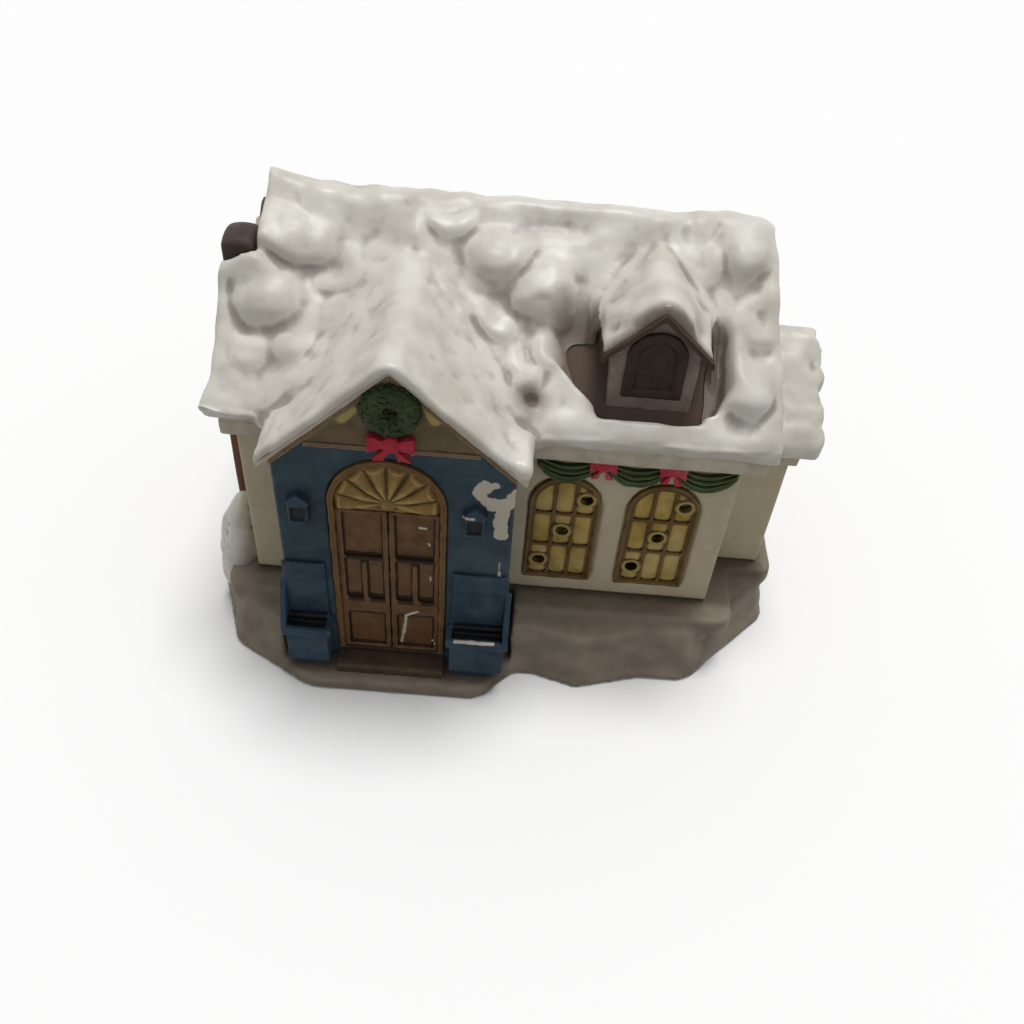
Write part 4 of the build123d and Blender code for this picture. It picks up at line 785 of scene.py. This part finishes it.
# A dent or a mound has its middle, its two half widths and its rise.
snow_dents = (
    (5.3, 1.6, 6.0, 2.0, 1.1), (3.1, -22.4, 1.2, 0.9, 2.0), (17.5, -2.2, 3.4, 2.2, 0.6),
    (-26.0, -2.0, 5.0, 3.0, 0.6),
)
snow_lumps = ((9.0, 21, 0.4), (4.2, 22, 0.34), (2.4, 23, 0.15))
back_lumps, ridge_lumps, eave_lumps = (15.0, 28, 0.9), (4.6, 29, 0.6), (5.0, 27, 0.9)
waver_x, waver_y = (6.0, 24, 0.9), (5.0, 25, 0.7)
entry_valley, dormer_valley = 9.0, 4.0
ridge_heads = ((entry_x, -1.5, 5.0, 3.5, 0.9), (dormer_x, 2.0, 3.2, 2.6, 1.2))
end_peak, end_fall = (-45.0, ridge_y, 6.48, 4.47, 1.9), 0.075
corner_drop, corner_pull = (4.4, 55.0, 2.83, 2.83, 1.1), (-51.0, -26.5, 3.0, 3.0, 1.3)
pillow_lean, pillow_up = 0.58, 0.81
drift_y, drift_rise, drift_end_rise = -9.4, 1.6, 1.4
crest_rise, cap_rise = 0.7, 0.5
corner_in, right_corner_up, left_corner_up = 1.6, 2.8, 1.7
eave_lift, eave_end_lift, stack_notch = 1.7, 2.2, 1.4
bare_patch = [
    (34.4, -11.6), (9.5, -11.6), (10.2, -14.8), (12.2, -18.0), (15.0, -19.9), (20.0, -20.7), (28.0, -20.7),
    (33.4, -20.1), (34.4, -18.4),
]
bare_round = 1.5
bare_film = 0.5


def bare_gap(x, y):
    """Distance to the bare roof round the dormer, seen from above."""
    inside = np.zeros(len(x), bool)
    sides = list(zip(bare_patch, bare_patch[1:] + bare_patch[:1]))
    for (x0, y0), (x1, y1) in sides:
        inside ^= ((y0 > y) != (y1 > y)) & (x < (x1 - x0) * (y - y0) / (y1 - y0 + 1e-9) + x0)
    gap = np.min([to_line(np.stack([x, y], 1), *side) for side in sides], 0)
    return np.where(inside, -gap, gap) - bare_round


def joined(first, second, reach):
    """Snow that fills the crease where two slopes meet."""
    return reach * np.clip(1 - np.abs(first - second) / reach, 0, 1) ** 2 / 4


def mounded(x, y, *mounds):
    """Height of some round mounds."""
    return sum(
        rise * np.exp(-(((x - middle_x) / half_x) ** 2) - ((y - middle_y) / half_y) ** 2)
        for middle_x, middle_y, half_x, half_y, rise in mounds
    )


def heaped(x, y, pillow):
    """Height of one pillow: a long fade up the slope, a curved steep lip and a scoop under the lip."""
    pillow_x, pillow_y, half, up, curve, high = pillow
    across = (x - pillow_x) / half
    uphill = (y - pillow_y) * (1 if pillow_y < ridge_y else -1) - 0.7 * curve * np.minimum(across**2, 2)
    swell = np.where(uphill > 0, np.exp(-1.6 * (uphill / up) ** 2), step(uphill, -1.8, 0))
    scoop = 0.22 * np.exp(-(((uphill + 2.6) / 1.2) ** 2))
    same_side = (y < ridge_y) == (pillow_y < ridge_y)
    return np.where(same_side, 0.85 * high * np.exp(-1.8 * across**4) * (swell - scoop), 0)


def snowed(points, normals):
    """The blanket's pillows, filled valleys, drifts and uneven edges."""
    x, y, z = points.T
    top = step(normals[:, 2], 0.05, 0.5)
    front = y < ridge_y
    main = ridge_top - np.abs(y - ridge_y) * roof_slope
    entry_side = np.abs(x - entry_x)
    dormer_side = np.abs(x - dormer_x)
    # The valleys of the entry and the dormer are filled, and the heads of their ridges run into the slope.
    fill = joined(main, entry_top - entry_side * entry_slope, entry_valley)
    fill *= step(y, -27.5, -23) * step(entry_side, 26, 20) * (0.75 + 0.25 * step(entry_side, 1, 7))
    fill += mounded(x, y, *ridge_heads)
    beside = step(y, -13.5, -9.5) * step(dormer_side, 13, 8) * step(dormer_side, 0.5, 4)
    fill += joined(main, dormer_top - dormer_side * entry_slope, dormer_valley) * beside
    # Pillows and dents have wavering outlines, with smaller lumps over all.
    warp_x = x + lumpy(points, waver_x)
    warp_y = y + lumpy(points, waver_y)
    height = sum(heaped(warp_x, warp_y, pillow) for pillow in snow_pillows) - mounded(x, y, *snow_dents)
    soft = lumpy(points, *snow_lumps) + lumpy(points, back_lumps) * step(y, 8, 14)
    soft += lumpy(points, ridge_lumps) * np.exp(-((y - ridge_y) ** 2) / 24)
    lean = np.where(front, -pillow_lean, pillow_lean)
    lean = np.stack([np.zeros_like(x), lean, np.full_like(x, pillow_up)], 1)
    moved = points + lean * (height * top)[:, None]
    moved += normals * (soft * step(normals[:, 2], -0.6, 0.1))[:, None]
    # The left end stands up in a peak, the right end falls off, and a drift lies under the stack.
    fall = end_fall * np.clip(x - 39.5, 0, 9) ** 2 * step(np.abs(y - ridge_y), 12, 2)
    drift = (drift_rise + drift_end_rise * step(x, -51, -46)) * step(x, -40, -45.5)
    past = warp_y - drift_y
    drift *= np.exp(-((past / np.where(past < 0, 1.2, 5.5)) ** 2))
    crest = crest_rise * np.exp(-((entry_side / 5) ** 2)) * step(y, -28, -34)
    moved[:, 2] += (fill * front + mounded(x, y, end_peak) - fall + drift + crest) * top
    # The entry's lower corners are drawn in and up, with a drop at the right one, and the eave lifts.
    lip = step(y, -26, -28.5)
    moved += normals * (mounded(x, z, corner_drop) * step(y, -26.5, -30))[:, None]
    moved[:, 0] -= np.sign(x - entry_x) * corner_in * lip * step(entry_side, 19, 24)
    moved[:, 2] += lip * step(entry_side, 17.5, 24) * np.where(x > entry_x, right_corner_up, left_corner_up)
    eave = step(y, -25.2, -26.4) * step(z, 56.5, 51.5) * ((x > 6.0) | (x < -43))
    moved[:, 2] += eave * (eave_lift + eave_end_lift * step(x, -47, -51) + lumpy(points, eave_lumps))
    moved[:, 0] -= mounded(x, y, corner_pull)
    moved[:, 0] += stack_notch * step(x, -44, -47) * step(y, -4, 0) * step(y, 9, 6)
    # Round the dormer a film is left on the bare roof, but the dormer's cap stays thick.
    gap = bare_gap(x, y)
    thin = 1 - step(gap, -0.6, 1.0 + 2.6 * step(y, -20, -15) * step(x, 28, 16))
    deep = np.clip(moved[:, 2] - (roof_top - np.abs(y - ridge_y) * roof_slope), 0, 9)
    cap = step(z - dormer_top + dormer_side * entry_slope, -5.0, -4.0) * step(dormer_side, 11.4, 10.6)
    moved[:, 2] -= thin * np.clip(deep - bare_film, 0, 9) * (1 - cap)
    moved[:, 2] += cap_rise * cap * step(y, -9, -13) * top
    return moved


def edge_painted(points):
    """Brown paint that fades onto the snow round the dormer, on the edge of its cap and in a pit."""
    x, y, z = points.T
    main = ridge_top - np.abs(y - ridge_y) * roof_slope
    cap = (z > main + 1.0) & (np.abs(x - dormer_x) < 12.5) & (y > dormer_front - 1.5)
    crisp = np.maximum(step(x, 31, 34), step(y, -17, -20))
    gap = np.where(cap, y - dormer_front - 0.2, bare_gap(x, y) * (1 + 2.5 * crisp) + 0.5 * crisp)
    return np.minimum(gap, np.hypot((x - 3.1) / 1.4, y + 22.6) - 0.5)


# The glaze is a warm satin white, with painted grey shade in the hollows and brown overspray round the
# dormer.
drift_width, grain_width, grain_lift = 8 * MM, 1.3 * MM, 0.2 * MM
snow_glaze, tree, shader = new_finish("satin_white_snow_glaze")
place = add(tree, "ShaderNodeTexCoord").outputs["Object"]
bend = add(tree, "ShaderNodeAttribute", {"attribute_name": "bend"}).outputs["Fac"]
cloud, fine = (
    add(tree, "ShaderNodeTexNoise", (), {0: place, "Scale": 1 / width, "Detail": detail}).outputs[0]
    for width, detail in ((drift_width, 3.0), (grain_width, 4.0))
)
shade = add(tree, "ShaderNodeMapRange", STEP, {"Value": cloud, "From Min": 0.38, "From Max": 0.66}).outputs[0]
white = add(tree, "ShaderNodeMix", TINT, {0: shade, 6: srgb("#dbd7cd"), 7: srgb("#c8c3b7")}).outputs[2]
# The hollows under the lips are painted grey as shade.
hollow_shade = add(tree, "ShaderNodeMath", TIMES_PLUS, {0: fine, 1: 0.2, 2: bend}).outputs[0]
limits = {"Value": hollow_shade, "From Min": 0.13, "From Max": 0.44, "To Max": 0.85}
hollow_shade = add(tree, "ShaderNodeMapRange", STEP, limits).outputs[0]
white = add(tree, "ShaderNodeMix", TINT, {0: hollow_shade, 6: white, 7: srgb("#8b857b")}).outputs[2]
gap = add(tree, "ShaderNodeAttribute", {"attribute_name": "edge"}).outputs["Fac"]
gap = add(tree, "ShaderNodeMath", TIMES_PLUS, {0: fine, 1: -0.8, 2: gap}).outputs[0]
limits = {"Value": gap, "From Min": 2.6, "From Max": -1.4, "To Max": 0.95}
spray = add(tree, "ShaderNodeMapRange", STEP, limits).outputs[0]
white = add(tree, "ShaderNodeMix", TINT, {0: spray, 6: white, 7: srgb("#6b5d50")}).outputs[2]
tree.links.new(white, shader.inputs["Base Color"])
limits = {"Value": cloud, "From Min": 0.3, "From Max": 0.7, "To Min": 0.4, "To Max": 0.58}
tree.links.new(add(tree, "ShaderNodeMapRange", STEP, limits).outputs[0], shader.inputs["Roughness"])
bump = add(tree, "ShaderNodeBump", (), {"Strength": 0.25, "Distance": grain_lift, "Height": fine}).outputs[0]
tree.links.new(bump, shader.inputs["Normal"])
shader.inputs["Coat Weight"].default_value = 0.12
shader.inputs["Coat Roughness"].default_value = 0.2

crust = node_copy("roof_snow", "dormer_roof")
blanket = soften("roof_snow_blanket", crust, 0.53, 8, snowed, {"edge": edge_painted}, blur=5, settle=3)
seat(blanket, snow_glaze, "snow_glaze", "roof_snow")
wing_lobe = 1.0
lobe_pitch = 4.4
wing_lumps, lobe_waver = ((5.5, 31, 0.6), (2.6, 32, 0.22)), (6.0, 33, 1.0)


def wing_snowed(points, normals):
    """Rounded lobes and soft lumps on the wing's snow."""
    soft = lumpy(points, *wing_lumps)
    lobes = np.abs(np.sin(math.pi * (points[:, 1] + lumpy(points, lobe_waver)) / lobe_pitch)) * wing_lobe
    moved = points + normals * (soft * step(normals[:, 2], -0.6, 0.1))[:, None]
    moved[:, 0] += (lobes - wing_lobe / 2) * step(points[:, 0], 54, 57)
    return moved


def unpainted(points):
    """No brown paint."""
    return np.full(len(points), far_off)


wing_crust = node_copy("wing_snow")
wing_cap = soften("wing_snow_blanket", wing_crust, 0.4, 8, wing_snowed, {"edge": unpainted}, blur=9, settle=2)
seat(wing_cap, snow_glaze, "snow_glaze", "wing_snow")

# Shrub: a lobed clump of clay at the left front corner, covered with the same snow glaze.
# It is modelled by hand and luted to the bank and the wall.
shrub_foot, shrub_head = Vector((-53.0, -16.8, 0.4)), Vector((-51.4, -16.2, 26.4))
shrub_wide = 5.2
shrub_long = 1.3
shrub_taper, crease_deep, crease_at = 0.4, 0.08, 0.42
shrub_lobes, shrub_grain = (3.6, 41, 0.9), (1.6, 42, 0.15)
lobe_stretch = np.array([1, 1, 0.5])


def clump():
    """A tall rounded clump that narrows and leans to the wall, with a soft crease."""
    work = bmesh.new()
    bmesh.ops.create_uvsphere(work, u_segments=48, v_segments=32, radius=1)
    for vert in work.verts:
        share = (vert.co.z + 1) / 2
        crease = crease_deep * math.exp(-(((share - crease_at) / 0.06) ** 2))
        wide = shrub_wide * (1.12 - shrub_taper * share) * (1 - crease)
        across = Vector((vert.co.x, shrub_long * vert.co.y, 0)) * wide
        vert.co = shrub_foot.lerp(shrub_head, share) + across
    return work


def lobed(points, normals):
    """Soft upright lobes."""
    lobes = lumpy(points * lobe_stretch, shrub_lobes) + lumpy(points, shrub_grain)
    return points + normals * lobes[:, None]


shrub = soften("shrub_clump", clump(), 0.25, 6, lobed, {"edge": unpainted}, blur=4, settle=4)
seat(shrub, snow_glaze, "snow_glaze", "snowy_shrub")

# Battery light: a moulded shell with a rubber grip ring, a board, a lamp, two coin cells and a switch.
# It plugs into the floor from below, and its round cover comes off over the cells.
# Its plastics are smooth and satin, its rubber is dull, and its metals are bright.
shade_width, grit_lift = 6 * MM, 0.04 * MM


def moulded(name, colour, rough, metallic=0.0, grit=0.6):
    """Moulded, plated or stamped stock: an even colour with a fine texture that breaks up its shine."""
    material, tree, shader = new_finish(name)
    place = add(tree, "ShaderNodeTexCoord").outputs["Object"]
    fine, wide = (
        add(tree, "ShaderNodeTexNoise", (), {0: place, "Scale": 1 / width, "Detail": detail}).outputs[0]
        for width, detail in ((grit * MM, 3.0), (shade_width, 2.0))
    )
    limits = {"Value": wide, "From Min": 0.35, "From Max": 0.7}
    shade = add(tree, "ShaderNodeMapRange", STEP, limits).outputs[0]
    darker = tuple(0.8 * part for part in srgb(colour)[:3]) + (1.0,)
    tone = add(tree, "ShaderNodeMix", TINT, {0: shade, 6: srgb(colour), 7: darker}).outputs[2]
    tree.links.new(tone, shader.inputs["Base Color"])
    limits = {"Value": fine, "From Min": 0.3, "From Max": 0.7, "To Min": rough - 0.05, "To Max": rough + 0.08}
    tree.links.new(add(tree, "ShaderNodeMapRange", STEP, limits).outputs[0], shader.inputs["Roughness"])
    sockets = {"Strength": 0.2, "Distance": grit_lift, "Height": fine}
    tree.links.new(add(tree, "ShaderNodeBump", (), sockets).outputs[0], shader.inputs["Normal"])
    shader.inputs["Metallic"].default_value = metallic
    return material


shell_plastic = moulded("moulded_white_abs", "#dcd8cc", 0.42)
for node in ("light_base", "light_housing", "battery_cover"):
    dress(node, shell_plastic)
dress("retaining_ring", moulded("black_grip_rubber", "#1c1c1b", 0.7))
dress("circuit_board", moulded("green_board_laminate", "#1f5a36", 0.4))
dress("led_lamp", moulded("warm_lamp_resin", "#e9d7a0", 0.15))
dress("coin_cells", moulded("plated_cell_steel", "#b9b9b6", 0.28, 1.0))
dress("contact_spring", moulded("spring_brass", "#c2a257", 0.25, 1.0))
black_plastic = moulded("moulded_black_plastic", "#191919", 0.45)
dress("switch_body", black_plastic)
dress("switch_knob", black_plastic)

# Studio: a plain floor that the camera sees as white, one broad soft light from above and an even fill.
# The floor is painted matt, so it shows the soft shadow and no reflection.
LARGER = {"operation": "MAXIMUM"}
floor_half = 3.0
floor_z = -0.3 * MM
fill_strength = 0.36


def seen_rays(tree):
    """1 for what the camera sees straight, in a reflection or through glass, and 0 for light that bounces."""
    rays = add(tree, "ShaderNodeLightPath").outputs
    seen = rays["Is Camera Ray"]
    for ray in ("Is Glossy Ray", "Is Transmission Ray"):
        seen = add(tree, "ShaderNodeMath", LARGER, {0: seen, 1: rays[ray]}).outputs[0]
    return seen


floor_mesh = bpy.data.meshes.new("floor")
corners = [(x * floor_half, y * floor_half, floor_z) for x, y in ((-1, -1), (1, -1), (1, 1), (-1, 1))]
floor_mesh.from_pydata(corners, [], [(0, 1, 2, 3)])
floor = bpy.data.objects.new("floor", floor_mesh)
scene.collection.objects.link(floor)
floor_paint, tree, shader = new_finish("matt_floor_paint")
tints = {0: seen_rays(tree), 6: srgb("#9b9a97"), 7: srgb("#ffffff")}
tree.links.new(add(tree, "ShaderNodeMix", TINT, tints).outputs[2], shader.inputs["Base Color"])
shader.inputs["Roughness"].default_value = 1.0
shader.inputs["Specular IOR Level"].default_value = 0.0
floor_mesh.materials.append(floor_paint)

world = bpy.data.worlds.new("studio")
world.use_nodes = True
tree = world.node_tree
limits = {"Value": seen_rays(tree), "To Min": fill_strength, "To Max": 1.0}
backdrop = tree.nodes["Background"].inputs
backdrop["Color"].default_value = srgb("#ffffff")
tree.links.new(add(tree, "ShaderNodeMapRange", (), limits).outputs[0], backdrop["Strength"])
scene.world = world

overhead_data = bpy.data.lights.new("overhead", "SUN")
overhead_data.energy = 2.0
overhead_data.angle = math.radians(24)
overhead = bpy.data.objects.new("overhead", overhead_data)
overhead.rotation_euler = Vector((-0.1, -0.16, -1)).to_track_quat("-Z", "Y").to_euler()
scene.collection.objects.link(overhead)

scene.view_settings.view_transform = "Standard"

# Camera: a close view from above, as the photograph was taken.
# It was held by hand, so it is rolled a little.
camera_place = Vector((-0.03, -154.3, 161.2)) * MM
camera_aim = Vector((1.73, -22.5, 33.6)) * MM
camera_roll = math.radians(5.1)
camera_data = bpy.data.cameras.new("camera")
camera_data.sensor_width = 36.0
camera_data.lens = 34.51
camera_data.clip_start = 0.005
camera = bpy.data.objects.new("camera", camera_data)
scene.collection.objects.link(camera)
aim = (camera_aim - camera_place).to_track_quat("-Z", "Y").to_matrix().to_4x4()
camera.matrix_world = Matrix.Translation(camera_place) @ aim @ Matrix.Rotation(camera_roll, 4, "Z")
scene.camera = camera
